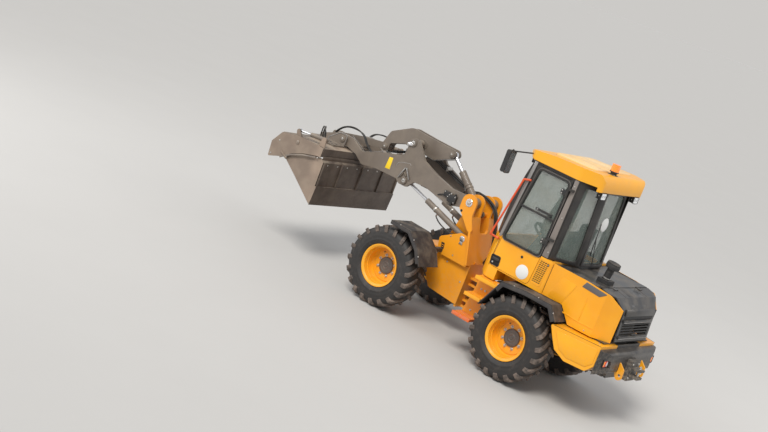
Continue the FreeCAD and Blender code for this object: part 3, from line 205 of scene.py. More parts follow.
def plastic(name, colour, rough=0.55, grain=260, dust=0.25, rounding=0.003):
    """Moulded plastic with a fine grain and some dust."""
    s = Shader(name)
    grainy = s.noise(grain, 3, 0.6)
    patches = s.noise(7, 5, 0.6)
    lies = s.ramp(s.upward(), 0.0, 1.0, 0.2, 1.0)
    cover = s.times(s.times(s.ramp(patches, 0.35, 0.75), lies), dust, True)
    pale = tuple(min(1.0, c * 1.5 + 0.008) for c in colour)
    base = s.mix(s.ramp(grainy, 0.3, 0.7), rgba(colour), rgba(pale))
    s.look(Base_Color=s.mix(cover, base, rgba(DUST)))
    s.look(Roughness=s.ramp(s.plus(cover, grainy), 0.2, 1.2, rough, 0.9))
    s.bump(grainy, 0.35, 0.0008, rounding)
    return s.material


def rubber(name, colour, dusty, start):
    """Tyre rubber: dark, matt, with gravel dust on what stands proud."""
    s = Shader(name)
    coarse = s.noise(11, 6, 0.65)
    fine = s.noise(160, 4, 0.7)
    cover = s.ramp(s.plus(s.times(coarse, 0.6), s.times(fine, 0.4)),
                   start, start + 0.3)
    raised = s.times(s.edges(0.01), 0.7)
    cover = s.times(s.maths("MAXIMUM", cover, raised), dusty, True)
    s.look(Base_Color=s.mix(cover, rgba(colour), rgba(TREAD_DUST)))
    s.look(Roughness=s.ramp(cover, 0.0, 1.0, 0.6, 0.95))
    s.bump(s.plus(coarse, fine), 0.4, 0.0015, 0.003)
    return s.material


def metal(name, colour, rough=0.2, brushed=None, dust=0.12, rounding=0.0015):
    """Bare metal with fine turning or grinding marks."""
    s = Shader(name)
    marks = s.noise(90, 3, 0.6, brushed)
    patches = s.noise(9, 5)
    cover = s.times(s.ramp(patches, 0.45, 0.8), dust, True)
    s.look(Base_Color=s.mix(cover, rgba(colour), rgba(DUST)))
    s.look(Roughness=s.ramp(s.plus(marks, cover), 0.2, 1.3, rough, rough + 0.4))
    s.look(Metallic=0.92)
    s.bump(marks, 0.12, 0.0004, rounding)
    return s.material


def glazing(name, tint, dirt):
    """Thin tinted glass that lets the cab be seen, with dust film at its rims."""
    s = Shader(name)
    film = s.noise(3.2, 6, 0.6)
    fine = s.noise(60, 4)
    cover = s.times(s.ramp(s.plus(s.times(film, 0.7),
                                               s.times(fine, 0.3)), 0.4, 0.75), dirt, True)
    s.look(Base_Color=s.mix(cover, rgba(tint), rgba(DUST)))
    s.look(Roughness=s.ramp(cover, 0, 0.5, 0.03, 0.5))
    s.look(IOR=1.45)
    s.look(Alpha=s.ramp(cover, 0.0, 0.6, 0.3, 0.62))
    return s.material


def lens(name, colour, glow=0.15):
    """A ribbed lamp lens."""
    s = Shader(name)
    wave = s.node("ShaderNodeTexWave", bands_direction="Z")
    s.feed(wave, Scale=90, Vector=s.place)
    pale = tuple(min(1.0, c * 1.6 + 0.05) for c in colour)
    s.look(Base_Color=s.mix(s.ramp(wave.outputs["Fac"], 0.2, 0.8), rgba(colour), rgba(pale)))
    s.look(Roughness=0.12)
    s.look(Coat_Weight=0.6)
    s.look(Emission_Color=rgba(colour))
    s.look(Emission_Strength=glow)
    s.bump(wave.outputs["Fac"], 0.4, 0.001)
    return s.material


def fabric(name, colour):
    """Woven seat cloth."""
    s = Shader(name)
    weave = s.noise(700, 2, 0.5, (1, 1, 0.3))
    worn = s.noise(12, 4)
    pale = tuple(c * 1.9 + 0.01 for c in colour)
    s.look(Base_Color=s.mix(s.ramp(weave, 0.4, 0.6), rgba(colour), rgba(pale)))
    s.look(Roughness=s.ramp(worn, 0.3, 0.7, 0.8, 0.95))
    s.look(Sheen_Weight=0.4)
    s.bump(weave, 0.5, 0.001)
    return s.material


YELLOW = painted("golden_paint", (0.93, 0.41, 0.008), (0.86, 0.35, 0.008), 0.28, 0.12, 0.3, grime=0.12)
FRAME_YELLOW = painted("frame_yellow_paint", (0.88, 0.34, 0.008), (0.78, 0.28, 0.01), 0.38, 0.2, 0.4,
                       grime=0.15)
ROOF_YELLOW = painted("roof_paint", (0.93, 0.42, 0.012), (0.9, 0.4, 0.02), 0.33, 0.18, 0.15, 0.012)
ROOF_DUSTY = painted("roof_panel_paint", (0.86, 0.55, 0.22), (0.84, 0.6, 0.32), 0.55, 0.3, 0.1, 0.012)
RIM_YELLOW = painted("rim_paint", (0.93, 0.41, 0.008), (0.89, 0.37, 0.008), 0.32, 0.12, 0.3, grime=0.1)
ARM_BROWN = painted("arm_paint", (0.15, 0.122, 0.098), (0.185, 0.152, 0.124), 0.42, 0.45, 0.4, 0.005)
BUCKET_BROWN = painted("bucket_paint", (0.07, 0.05, 0.038), (0.105, 0.078, 0.062), 0.6, 0.6, 0.6, 0.005,
                       0.2)
# Paler bucket paint: dust, and painted light on the bucket's lit side plates.
BUCKET_DUST_AND_LIGHT = painted("bucket_dust_and_painted_light", (0.2, 0.15, 0.115), (0.33, 0.245, 0.185), 0.7, 0.8, 0.6,
                       0.005, 0.3)
BUCKET_EDGE = painted("bucket_edge_paint", (0.165, 0.135, 0.115), (0.23, 0.19, 0.165), 0.5, 0.8, 0.6, 0.003)
DARK_PAINT = painted("dark_grey_paint", (0.022, 0.021, 0.022), (0.034, 0.033, 0.033), 0.36, 0.25, 0.3,
                     grime=0.4)
FENDER_GREY = plastic("fender_plastic", (0.022, 0.02, 0.021), 0.6, 200, 0.35, 0.006)
PILLAR_GREY = painted("pillar_paint", (0.19, 0.165, 0.15), (0.23, 0.2, 0.18), 0.4, 0.2, 0.15)
PILLAR_BLACK = painted("frame_black_paint", (0.016, 0.015, 0.015), (0.026, 0.024, 0.023), 0.4, 0.2, 0.15)
BLACK_PLASTIC = plastic("black_plastic", (0.014, 0.014, 0.015), 0.5)
BADGE_GREY = plastic("badge_plastic", (0.085, 0.08, 0.08), 0.45, 300, 0.2, 0.002)
HUB_GREY = painted("hub_paint", (0.065, 0.055, 0.05), (0.095, 0.08, 0.072), 0.4, 0.4, 0.5, 0.002)
SEAL_RUBBER = plastic("seal_rubber", (0.01, 0.01, 0.01), 0.7, 300, 0.15, 0.002)
SEAL_GREY = plastic("seal_grey", (0.16, 0.14, 0.125), 0.6, 300, 0.15, 0.001)
# Near-black painted shadow, laid in holes, slots and recesses; the same black also draws dark seams.
SHADOW = plastic("painted_shadow_and_dark_seams", (0.004, 0.004, 0.004), 0.85, 200, 0.05, 0.0)
RED_PAINT = painted("orange_red_paint", (0.78, 0.085, 0.015), (0.66, 0.07, 0.012), 0.38, 0.2, 0.4, grime=0.3)
# Orange paint for the rail sleeves; on the lowest tread it is painted shade of the yellow.
ORANGE_PAINT_AND_TREAD_SHADE = painted("orange_paint_and_painted_tread_shade", (0.8, 0.14, 0.01), (0.7, 0.11, 0.01), 0.4, 0.3, 0.5, grime=0.4)
STICKER = painted("sticker_yellow", (0.9, 0.62, 0.015), (0.86, 0.58, 0.02), 0.45, 0.15, 0.1, 0.0008)
TYRE = rubber("tread_rubber", (0.03, 0.024, 0.02), 0.85, 0.36)
TYRE_SIDE = rubber("sidewall_rubber", (0.026, 0.024, 0.023), 0.28, 0.48)
HOSE = plastic("hose_rubber", (0.012, 0.012, 0.012), 0.4, 220, 0.2, 0)
CHROME = metal("rod_chrome", (0.8, 0.8, 0.82), 0.08, (1, 1, 6), 0.06)
ZINC = metal("zinc_steel", (0.58, 0.56, 0.53), 0.32, None, 0.25)
STEEL_GREY = metal("grey_steel", (0.4, 0.385, 0.37), 0.35, None, 0.2)
CASTING = painted("casting_paint", (0.05, 0.047, 0.045), (0.075, 0.07, 0.065), 0.6, 0.6, 0.5, 0.008, 0.6)
GLASS = glazing("cab_glazing", (0.24, 0.3, 0.27), 0.4)
RED_LENS = lens("red_lens", (0.6, 0.02, 0.01))
AMBER_LENS = lens("amber_lens", (0.95, 0.2, 0.008), 0.25)
CLEAR_LENS = lens("clear_lens", (0.8, 0.81, 0.8), 0.05)
SEAT_CLOTH = fabric("seat_cloth", (0.03, 0.03, 0.034))
WHITE_PAINT = painted("white_disc", (0.8, 0.8, 0.78), (0.74, 0.74, 0.72), 0.4, 0.1, 0.1)

NODE_LOOKS = {
    "cab_tub": YELLOW, "door_left": YELLOW, "cab_frame": PILLAR_BLACK, "cab_roof": ROOF_YELLOW,
    "cab_glass": GLASS, "door_glass": GLASS, "engine_side_panels": YELLOW, "engine_lid": DARK_PAINT,
    "engine_cowl": DARK_PAINT, "rear_grille": BLACK_PLASTIC, "air_intake": BLACK_PLASTIC,
    "counterweight": YELLOW, "rear_bumper": DARK_PAINT, "tow_hitch": CASTING, "tow_rings": YELLOW,
    "tail_lamps": RED_LENS, "rear_fenders": FENDER_GREY, "front_fenders": FENDER_GREY,
    "front_frame": FRAME_YELLOW, "rear_chassis": DARK_PAINT, "front_axle": CASTING,
    "rear_axle": CASTING, "front_drive_shaft": CASTING, "rear_drive_shaft": CASTING,
    "engine_block": CASTING, "lift_arms": ARM_BROWN, "bell_crank": ARM_BROWN, "tilt_link": ARM_BROWN,
    "tool_carrier": ARM_BROWN, "bucket_back": BUCKET_BROWN, "bucket_jaw": BUCKET_BROWN,
    "lift_cylinder_barrel": ARM_BROWN, "tilt_cylinder_barrel": ARM_BROWN,
    "jaw_cylinder_barrel": ARM_BROWN, "steering_cylinder_barrel": ARM_BROWN,
    "lift_cylinder_rod": CHROME, "tilt_cylinder_rod": CHROME, "jaw_cylinder_rod": CHROME,
    "steering_cylinder_rod": CHROME, "driver_seat": SEAT_CLOTH, "steering_column": BLACK_PLASTIC,
    "side_console": BLACK_PLASTIC, "grab_rails": RED_PAINT, "cab_steps": FRAME_YELLOW,
    "mirrors": BLACK_PLASTIC, "work_lamps": BLACK_PLASTIC, "beacon": AMBER_LENS,
}


def second_look(name, look, chosen):
    """Give the faces of a CAD node that a test picks a finish of their own."""
    mesh = NODES[name].data
    mesh.materials.append(look)
    for face in mesh.polygons:
        if chosen(face.center - PIN, face.normal):
            face.material_index = 1


def dress_nodes():
    """Give each CAD node its finish, with welded and smoothed faces where it is round."""
    for name, node in NODES.items():
        look = NODE_LOOKS.get(name, RIM_YELLOW if name.startswith("rim_") else TYRE)
        node.data.materials.clear()
        node.data.materials.append(look)
        for face in node.data.polygons:
            face.use_smooth = True
        weld = node.modifiers.new("weld", "WELD")
        weld.merge_threshold = 0.00005
        split = node.modifiers.new("split", "EDGE_SPLIT")
        split.split_angle = math.radians(32)
    second_look("door_left", PILLAR_BLACK, lambda p, n: p.z > 1.6 or p.y > 0.7205 and p.x < -0.95)
    second_look("beacon", BLACK_PLASTIC, lambda p, n: p.z < 2.8495)
    second_look("engine_side_panels", DARK_PAINT, lambda p, n: p.y * n.y < -0.02)
    second_look("tail_lamps", BLACK_PLASTIC, lambda p, n: p.x > -2.26)
    second_look("work_lamps", DARK_PAINT, lambda p, n: n.z > 0.5)
    # The bucket's side plates and upper faces take the paler paint, which is dust and painted light.
    second_look("bucket_back", BUCKET_DUST_AND_LIGHT, lambda p, n: abs(n.y) > 0.9 or p.z > 1.58)
    second_look("bucket_jaw", BUCKET_DUST_AND_LIGHT, lambda p, n: abs(n.y) > 0.9)


# Mesh helpers

PLANES = {
    "side": lambda u, v, d: Vector((u, d, v)),
    "top": lambda u, v, d: Vector((u, v, d)),
    "front": lambda u, v, d: Vector((d, u, v)),
}
MIRROR = Matrix.Diagonal((1, -1, 1, 1))


def span(side, near, far):
    """Two depths on one side of the middle plane, the lower first."""
    return sorted((side * near, side * far))


def softened(corners, radius, steps=4):
    """A closed outline with every corner rounded to an arc of a few points."""
    outline = []
    for i, corner in enumerate(corners):
        here = Vector(corner)
        before = (Vector(corners[i - 1]) - here).normalized()
        after = (Vector(corners[(i + 1) % len(corners)]) - here).normalized()
        half = before.angle(after) / 2
        start = here + before * (radius / math.tan(half))
        end = here + after * (radius / math.tan(half))
        for step in range(steps + 1):
            t = step / steps
            outline.append(tuple(start.lerp(here, t).lerp(here.lerp(end, t), t)))
    return outline


def grown(corners, by):
    """A closed outline with every side moved out by a distance."""
    area = sum(a[0] * b[1] - b[0] * a[1] for a, b in zip(corners, corners[1:] + corners[:1]))
    side = math.copysign(by, area)
    moved = []
    for i, corner in enumerate(corners):
        here = Vector(corner)
        before = (here - Vector(corners[i - 1])).normalized()
        after = (Vector(corners[(i + 1) % len(corners)]) - here).normalized()
        middle = Vector((before.y + after.y, -before.x - after.x)).normalized()
        reach = side / max(0.3, middle.dot(Vector((before.y, -before.x))))
        moved.append(tuple(here + middle * reach))
    return moved


def ribbon(line, width):
    """The outline of a band that runs beside a bent line."""
    inner = []
    for i, point in enumerate(line):
        before = Vector(line[i]) - Vector(line[i - 1]) if i else Vector(line[1]) - Vector(line[0])
        after = Vector(line[i + 1]) - Vector(point) if i + 1 < len(line) else before
        middle = (before.normalized() + after.normalized()).normalized()
        across = Vector((-middle.y, middle.x))
        reach = width / max(0.3, middle.dot(before.normalized()))
        inner.append(tuple(Vector(point) + across * reach))
    return list(line) + inner[::-1]


class Piece:
    """A mesh built up from bmesh shapes, in places given from the articulation pin."""

    def __init__(self, name, body, *looks, turn=None):
        self.name = name
        self.body = body
        self.looks = looks
        self.turn = turn
        self.bm = bmesh.new()

    def add(self, part, look=0, edge=0.0, turn=None, segments=2):
        """Join a shape to the piece, with its sharp edges rounded and the piece's own turn if it has none."""
        if turn is None:
            turn = self.turn
        bmesh.ops.recalc_face_normals(part, faces=part.faces)
        if edge:
            sharp = [e for e in part.edges if len(e.link_faces) == 2 and e.calc_face_angle() > 0.5]
            bmesh.ops.bevel(part, geom=sharp, offset=edge, offset_type="OFFSET", segments=segments,
                            profile=0.5, affect="EDGES", material=-1, clamp_overlap=True)
        if turn is not None:
            bmesh.ops.transform(part, matrix=turn, verts=part.verts)
            bmesh.ops.recalc_face_normals(part, faces=part.faces)
        for face in part.faces:
            face.material_index = look
        mesh = bpy.data.meshes.new("shape")
        part.to_mesh(mesh)
        part.free()
        self.bm.from_mesh(mesh)
        bpy.data.meshes.remove(mesh)

    def box(self, low, high, look=0, edge=0.002, turn=None, segments=2):
        low, high = Vector(low), Vector(high)
        part = bmesh.new()
        size = Matrix.Diagonal((*(high - low), 1))
        bmesh.ops.create_cube(part, size=1, matrix=Matrix.Translation((low + high) / 2) @ size)
        self.add(part, look, edge, turn, segments)

    def rod(self, start, end, radius, look=0, edge=0.0, sides=20, tip=None, turn=None):
        start, end = Vector(start), Vector(end)
        along = end - start
        aim = along.to_track_quat("Z", "Y").to_matrix().to_4x4()
        part = bmesh.new()
        bmesh.ops.create_cone(part, cap_ends=True, cap_tris=False, segments=sides, radius1=radius,
                              radius2=radius if tip is None else tip, depth=along.length,
                              matrix=Matrix.Translation((start + end) / 2) @ aim)
        self.add(part, look, edge, turn)

    def stud(self, x, z, low, high, *finish, **more):
        """A rod across the machine, between two depths."""
        self.rod((x, low, z), (x, high, z), *finish, **more)

    def bolt(self, place, size, look=0, axis=(0, 1, 0), turn=None):
        """A hexagon head on a washer; the axis points out of the surface."""
        place, axis = Vector(place), Vector(axis).normalized()
        self.rod(place, place + axis * size * 0.25, size * 1.35, look, 0, 16, None, turn)
        self.rod(place, place + axis * size * 0.95, size, look, size * 0.12, 6, None, turn)

    def plate(self, outline, low, high, plane="side", look=0, edge=0.0015, turn=None, segments=2):
        """An outline drawn in a plane and extruded between two depths."""
        place = PLANES[plane]
        part = bmesh.new()
        face = part.faces.new([part.verts.new(place(u, v, low)) for u, v in outline])
        self.extrude(part, [face], place(0, 0, high - low))
        self.add(part, look, edge, turn, segments)

    def ring(self, outer, inner, low, high, plane="side", look=0, edge=0.0015, turn=None):
        """A flat ring between two outlines, extruded between two depths."""
        place = PLANES[plane]
        part = bmesh.new()
        for loop in (outer, inner):
            corners = [part.verts.new(place(u, v, low)) for u, v in loop]
            for a, b in zip(corners, corners[1:] + corners[:1]):
                part.edges.new((a, b))
        bmesh.ops.bridge_loops(part, edges=part.edges[:])
        self.extrude(part, part.faces[:], place(0, 0, high - low))
        self.add(part, look, edge, turn)

    def extrude(self, part, faces, along):
        raised = bmesh.ops.extrude_face_region(part, geom=faces)
        moved = [v for v in raised["geom"] if isinstance(v, bmesh.types.BMVert)]
        bmesh.ops.translate(part, verts=moved, vec=along)

    def lathe(self, profile, centre, look=0, axis="Y", steps=48, closed=False, sign=1, turn=None):
        """A profile of (distance along the axis, radius) spun round the axis."""
        centre = Vector(centre)
        away = {"X": Vector((1, 0, 0)), "Y": Vector((0, 1, 0)), "Z": Vector((0, 0, 1))}[axis]
        out = Vector((1, 0, 0)) if axis == "Z" else Vector((0, 0, 1))
        part = bmesh.new()
        corners = [part.verts.new(centre + away * sign * a + out * r) for a, r in profile]
        pairs = list(zip(corners, corners[1:] + corners[:1] if closed else corners[1:]))
        edges = [part.edges.new(pair) for pair in pairs]
        bmesh.ops.spin(part, geom=corners + edges, cent=centre, axis=away, dvec=(0, 0, 0),
                       angle=math.tau, steps=steps, use_merge=True, use_duplicate=False)
        bmesh.ops.remove_doubles(part, verts=part.verts, dist=0.00001)
        self.add(part, look, 0.0, turn)

    def hose(self, route, radius, look=0, turn=None):
        """A hose on a smooth spline through a few control points, its ends on what they feed."""
        curve = bpy.data.curves.new("hose", "CURVE")
        curve.dimensions = "3D"
        curve.bevel_depth = radius
        curve.bevel_resolution = 3
        curve.resolution_u = 6
        curve.use_fill_caps = True
        spline = curve.splines.new("NURBS")
        spline.points.add(len(route) - 1)
        for point, place in zip(spline.points, route):
            point.co = (*place, 1)
        spline.order_u = 3
        spline.use_endpoint_u = True
        holder = bpy.data.objects.new("hose", curve)
        mesh = bpy.data.meshes.new_from_object(holder)
        part = bmesh.new()
        part.from_mesh(mesh)
        bpy.data.meshes.remove(mesh)
        bpy.data.objects.remove(holder)
        self.add(part, look, 0.0, turn)

    def done(self, both=False, sharp=32):
        """Make the object and ride it on its body; both mirrors it."""
        if both:
            copy = bmesh.ops.duplicate(self.bm, geom=self.bm.verts[:] + self.bm.edges[:] + self.bm.faces[:])
            moved = [v for v in copy["geom"] if isinstance(v, bmesh.types.BMVert)]
            turned = [f for f in copy["geom"] if isinstance(f, bmesh.types.BMFace)]
            bmesh.ops.transform(self.bm, matrix=MIRROR, verts=moved)
            bmesh.ops.reverse_faces(self.bm, faces=turned)
        bmesh.ops.translate(self.bm, verts=self.bm.verts, vec=PIN)
        mesh = bpy.data.meshes.new(self.name)
        self.bm.to_mesh(mesh)
        self.bm.free()
        for look in self.looks:
            mesh.materials.append(look)
        for face in mesh.polygons:
            face.use_smooth = True
        mesh.set_sharp_from_angle(angle=math.radians(sharp))
        piece = bpy.data.objects.new(self.name, mesh)
        bpy.context.scene.collection.objects.link(piece)
        if self.body:
            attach(piece, self.body)
        return piece


# Wheels

WHEELS = (("front_left", 1.05, 1), ("front_right", 1.05, -1), ("rear_left", -1.05, 1),
          ("rear_right", -1.05, -1))
AXLE_HEIGHT = 0.5394
HALF_TRACK = 0.715
CASING = [(0.166, 0.2563), (0.166, 0.2858), (0.172, 0.29), (0.186, 0.306), (0.1945, 0.332),
          (0.1978, 0.338), (0.1978, 0.346), (0.1955, 0.35), (0.1985, 0.375), (0.1985, 0.405),
          (0.196, 0.41), (0.196, 0.42), (0.193, 0.436), (0.186, 0.464), (0.172, 0.492),
          (0.145, 0.507), (0.11, 0.5135), (0.05, 0.5155)]
LUG = [(0.008, 0.49), (0.008, 0.5368), (0.12, 0.5368), (0.172, 0.524), (0.1955, 0.504),
       (0.2, 0.44), (0.188, 0.436), (0.144, 0.48)]
LUG_SLANT = 0.55
LUG_WIDTH = 0.05
LUGS = 20


def tyres():
    """Round casings with sidewall ribs, and slanting shoulder blocks on both halves."""
    reach = (LUG_SLANT * 0.12 + LUG_WIDTH) / 2
    for name, x, side in WHEELS:
        centre = Vector((x, side * HALF_TRACK, AXLE_HEIGHT))
        tyre = Piece("tyre_dressed_" + name, "wheel_" + name, TYRE_SIDE, TYRE)
        profile = CASING + [(-y, radius) for y, radius in reversed(CASING)]
        tyre.lathe(profile, centre, 0, steps=80, closed=True)
        for half in (1, -1):
            part = bmesh.new()
            corners = [part.verts.new((LUG_SLANT * y - reach, half * y, -radius)) for y, radius in LUG]
            tyre.extrude(part, [part.faces.new(corners)], Vector((LUG_WIDTH, 0, 0)))
            bmesh.ops.recalc_face_normals(part, faces=part.faces)
            bmesh.ops.bevel(part, geom=part.edges[:], offset=0.005, offset_type="OFFSET", segments=2,
                            profile=0.5, affect="EDGES", material=-1, clamp_overlap=True)
            step = math.tau / LUGS
            if half < 0:
                bmesh.ops.rotate(part, verts=part.verts, cent=(0, 0, 0),
                                 matrix=Matrix.Rotation(step / 2, 3, "Y"))
            bmesh.ops.spin(part, geom=part.verts[:] + part.edges[:] + part.faces[:], cent=(0, 0, 0),
                           axis=(0, 1, 0), dvec=(0, 0, 0), angle=step * (LUGS - 1), steps=LUGS - 1,
                           use_merge=False, use_duplicate=True)
            turn = Matrix.Translation(centre)
            if side < 0:
                turn = turn @ MIRROR
            tyre.add(part, 1, 0.0, turn)
        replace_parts(tyre.done(sharp=40), "tyre_" + name)


def wheel_trim():
    """Wheel nuts on their studs, the hub's ringed cap, the dish's bead and the valve."""
    cap = [(-0.004, 0.113), (0.012, 0.113), (0.018, 0.108), (0.0245, 0.088), (0.0245, 0.074),
           (0.022, 0.07), (0.022, 0.052), (0.0255, 0.048), (0.0255, 0.036), (0.022, 0.032),
           (0.022, 0.02), (0.028, 0.017), (0.028, 0.0)]
    bead = [(0.084, 0.244), (0.084, 0.236), (0.091, 0.2325), (0.099, 0.236), (0.099, 0.245)]
    groove = [(0.0015, 0.206), (0.006, 0.204), (0.006, 0.194), (0.0015, 0.192)]
    for name, x, side in WHEELS:
        trim = Piece("wheel_trim_" + name, "wheel_" + name, ZINC, HUB_GREY, RIM_YELLOW)
        centre = Vector((x, side * HALF_TRACK, AXLE_HEIGHT))
        trim.lathe(cap, centre, 1, sign=side)
        trim.lathe(bead, centre, 2, steps=64, closed=True, sign=side)
        trim.lathe(groove, centre, 2, steps=64, closed=True, sign=side)
        for count in range(8):
            turn = math.tau * (count + 0.5) / 8
            place = centre + 0.1375 * Vector((math.cos(turn), 0, math.sin(turn)))
            out = Vector((0, side, 0))
            trim.rod(place - out * 0.002, place + out * 0.004, 0.021, 0, 0.001)
            trim.rod(place, place + out * 0.019, 0.0145, 0, 0.002, 6)
            trim.rod(place, place + out * 0.028, 0.008, 0, 0.0015, 12)
        valve = centre + Vector((0.09, 0, 0.155))
        trim.rod(valve, valve + Vector((0, side * 0.035, 0)), 0.006, 1, 0.001, 10)
        trim.done()


FENDER_LINES = (
    ("front_fender_lips", "front_frame", [(0.478, 0.824), (0.567, 0.98), (0.769, 1.15), (1.09, 1.16)], -0.04),
    ("rear_fender_lips", "rear_frame", [(-0.69, 1.04), (-0.747, 1.15), (-1.095, 1.185), (-1.466, 1.185),
                                        (-1.58, 1.03)], 0.048),
)


def fender_lips():
    """The turned down outer edges of the mudguards, with their fixing bolts."""
    for name, body, line, width in FENDER_LINES:
        lips = Piece(name, body, FENDER_GREY, ZINC)
        lips.plate(ribbon(line, width), 0.9125, 0.9275, "side", 0, 0.004)
        for start, end in zip(line, line[1:]):
            middle = Vector(start).lerp(Vector(end), 0.5)
            across = Vector((end[1] - start[1], start[0] - end[0])).normalized()
            spot = middle - across * 0.016 * math.copysign(1, -width)
            lips.bolt((spot.x, 0.927, spot.y), 0.006, 1)
        lips.done(both=True)


# Cab

TO_WALL = Matrix(((1, 0, 0, 0), (-0.0235, 1, 0, 0.69224), (0, 0, 1, 0), (0, 0, 0, 1)))
TO_QUARTER = Matrix(((-0.4489, -0.8936, 0, -1.095), (-0.8936, 0.4489, 0, 0.718), (0, 0, 1, 0),
                     (0, 0, 0, 1)))
DOOR_RING = [(-0.3885, 1.585), (-0.4855, 2.61), (-1.0235, 2.61), (-0.9875, 1.585)]
DOOR_HOLE = [(-0.412, 1.612), (-0.549, 2.565), (-0.975, 2.565), (-0.953, 1.612)]
QUARTER_RING = [(0.008, 1.628), (0.022, 2.636), (0.462, 2.636), (0.474, 1.628)]
QUARTER_HOLE = [(0.085, 1.668), (0.118, 2.582), (0.35, 2.582), (0.404, 1.668)]
REAR_RING = [(-0.285, 1.632), (0.285, 1.632), (0.285, 2.62), (-0.285, 2.62)]
REAR_HOLE = [(-0.24, 1.665), (0.24, 1.665), (0.24, 2.575), (-0.24, 2.575)]


def door():
    """The door's dark upper frame and seals, its bar, latch, handle, hinge plates and blank discs."""
    leaf = Piece("door_dressing", "door", PILLAR_BLACK, SEAL_RUBBER, SEAL_GREY, BLACK_PLASTIC, ZINC,
                 WHITE_PAINT, SHADOW, turn=TO_WALL)
    hole = softened(DOOR_HOLE, 0.045)
    leaf.ring(softened(DOOR_RING, 0.035), hole, -0.001, 0.009, look=0, edge=0.003)
    leaf.ring(grown(hole, 0.012), hole, 0.006, 0.013, look=1, edge=0.002)
    leaf.ring(grown(hole, 0.034), grown(hole, 0.03), 0.008, 0.0115, look=2, edge=0.001)
    leaf.ring(hole, grown(hole, -0.016), -0.012, 0.004, look=1, edge=0.002)
    leaf.box((-0.972, -0.006, 2.058), (-0.462, 0.012, 2.086), 3, 0.005)
    leaf.box((-0.93, 0.004, 2.104), (-0.68, 0.016, 2.134), 3, 0.005)
    leaf.stud(-0.9, 2.119, 0.014, 0.03, 0.012, 3, 0.002)
    leaf.stud(-0.712, 2.119, 0.014, 0.026, 0.009, 4, 0.002)
    cup = softened([(-0.348, 1.356), (-0.48, 1.362), (-0.491, 1.238), (-0.362, 1.239)], 0.022)
    leaf.ring(grown(cup, 0.006), cup, -0.002, 0.006, look=3, edge=0.002)
    # The handle's cup is filled with a near-black plate of painted shadow.
    leaf.plate(cup, -0.004, 0.0015, look=6)
    leaf.box((-0.474, 0.002, 1.3), (-0.372, 0.012, 1.334), 3, 0.005)
    leaf.stud(-0.392, 1.268, 0.004, 0.009, 0.012, 4, 0.002)
    leaf.stud(-0.753, 1.495, -0.002, 0.003, 0.018, 3, 0.001)
    leaf.stud(-0.753, 1.495, 0.0, 0.006, 0.01, 6, 0.001)
    leaf.stud(-0.831, 1.329, -0.001, 0.0015, 0.09, 5, 0.0005, 48)
    for z in (1.795, 2.445):
        leaf.box((-1.006, 0.0, z - 0.034), (-0.906, 0.012, z + 0.034), 3, 0.004)
        leaf.bolt((-0.925, 0.012, z + 0.018), 0.007, 4)
        leaf.bolt((-0.925, 0.012, z - 0.018), 0.007, 4)
    seam = [(-0.35, 1.215), (-0.362, 1.575)]
    leaf.plate(ribbon(seam, 0.004), -0.002, 0.0006, look=6)
    leaf.done()


def cab_pillars():
    """Pillar covers, black glass borders, the far side's frame and the seals of all the panes."""
    shell = Piece("cab_pillars", "rear_frame", PILLAR_GREY, PILLAR_BLACK, SEAL_RUBBER, STEEL_GREY, ZINC)
    mirror = MIRROR @ TO_WALL
    for turn in (TO_WALL, mirror):
        shell.plate([(-1.0365, 2.64), (-1.094, 2.64), (-1.088, 1.63), (-1.0, 1.63)], -0.001, 0.007,
                    look=0, edge=0.004, turn=turn)
        shell.plate([(-0.335, 1.605), (-0.375, 1.605), (-0.474, 2.64), (-0.425, 2.64)], -0.001, 0.007,
                    look=3, edge=0.004, turn=turn)
        for z in (1.7, 2.15, 2.56):
            shell.bolt((-1.064 + (z - 1.63) * 0.003, 0.006, z), 0.006, 4, turn=turn)
    hole = softened(DOOR_HOLE, 0.045)
    shell.ring(softened(DOOR_RING, 0.035), hole, -0.001, 0.007, look=1, edge=0.003, turn=mirror)
    shell.ring(grown(hole, 0.014), grown(hole, -0.012), -0.006, 0.011, look=2, edge=0.003, turn=mirror)
    for turn in (TO_QUARTER, MIRROR @ TO_QUARTER):
        hole = softened(QUARTER_HOLE, 0.04)
        shell.ring(softened(QUARTER_RING, 0.03), hole, -0.006, 0.004, look=1, edge=0.002, turn=turn)
        shell.ring(hole, grown(hole, -0.01), -0.014, 0.002, look=2, edge=0.002, turn=turn)
    shell.done()


def cab_panel():
    """The vent, with its slots in painted shadow, and the lock and seam of the lower cab side, on both sides.
    """
    panel = Piece("cab_vents", "rear_frame", YELLOW, SHADOW, ZINC, BLACK_PLASTIC, turn=TO_WALL)
    corners = [(-1.005, 1.592), (-1.15, 1.58), (-1.12, 1.272), (-0.985, 1.276)]
    panel.ring(softened(grown(corners, 0.008), 0.02), softened(corners, 0.016), -0.004, 0.003,
               look=0, edge=0.0015)
    for row in range(12):
        z = 1.296 + row * 0.0238
        lean = (z - 1.274) / 0.311
        near = -0.992 - 0.018 * lean
        step = (0.121 + 0.013 * lean) / 4
        for slot in range(4):
            u = near - step * slot - 0.005
            far = u - step + 0.007
            bars = [(u, z), (u, z + 0.011), (far, z + 0.017), (far, z + 0.006)]
            # Each slot is a thin near-black plate of painted shadow.
            panel.plate(bars, -0.002, 0.0014, look=1, edge=0)
    panel.stud(-1.134, 1.556, -0.001, 0.006, 0.013, 3, 0.002)
    panel.stud(-1.134, 1.556, 0.004, 0.009, 0.007, 2, 0.001)
    panel.done(both=True)


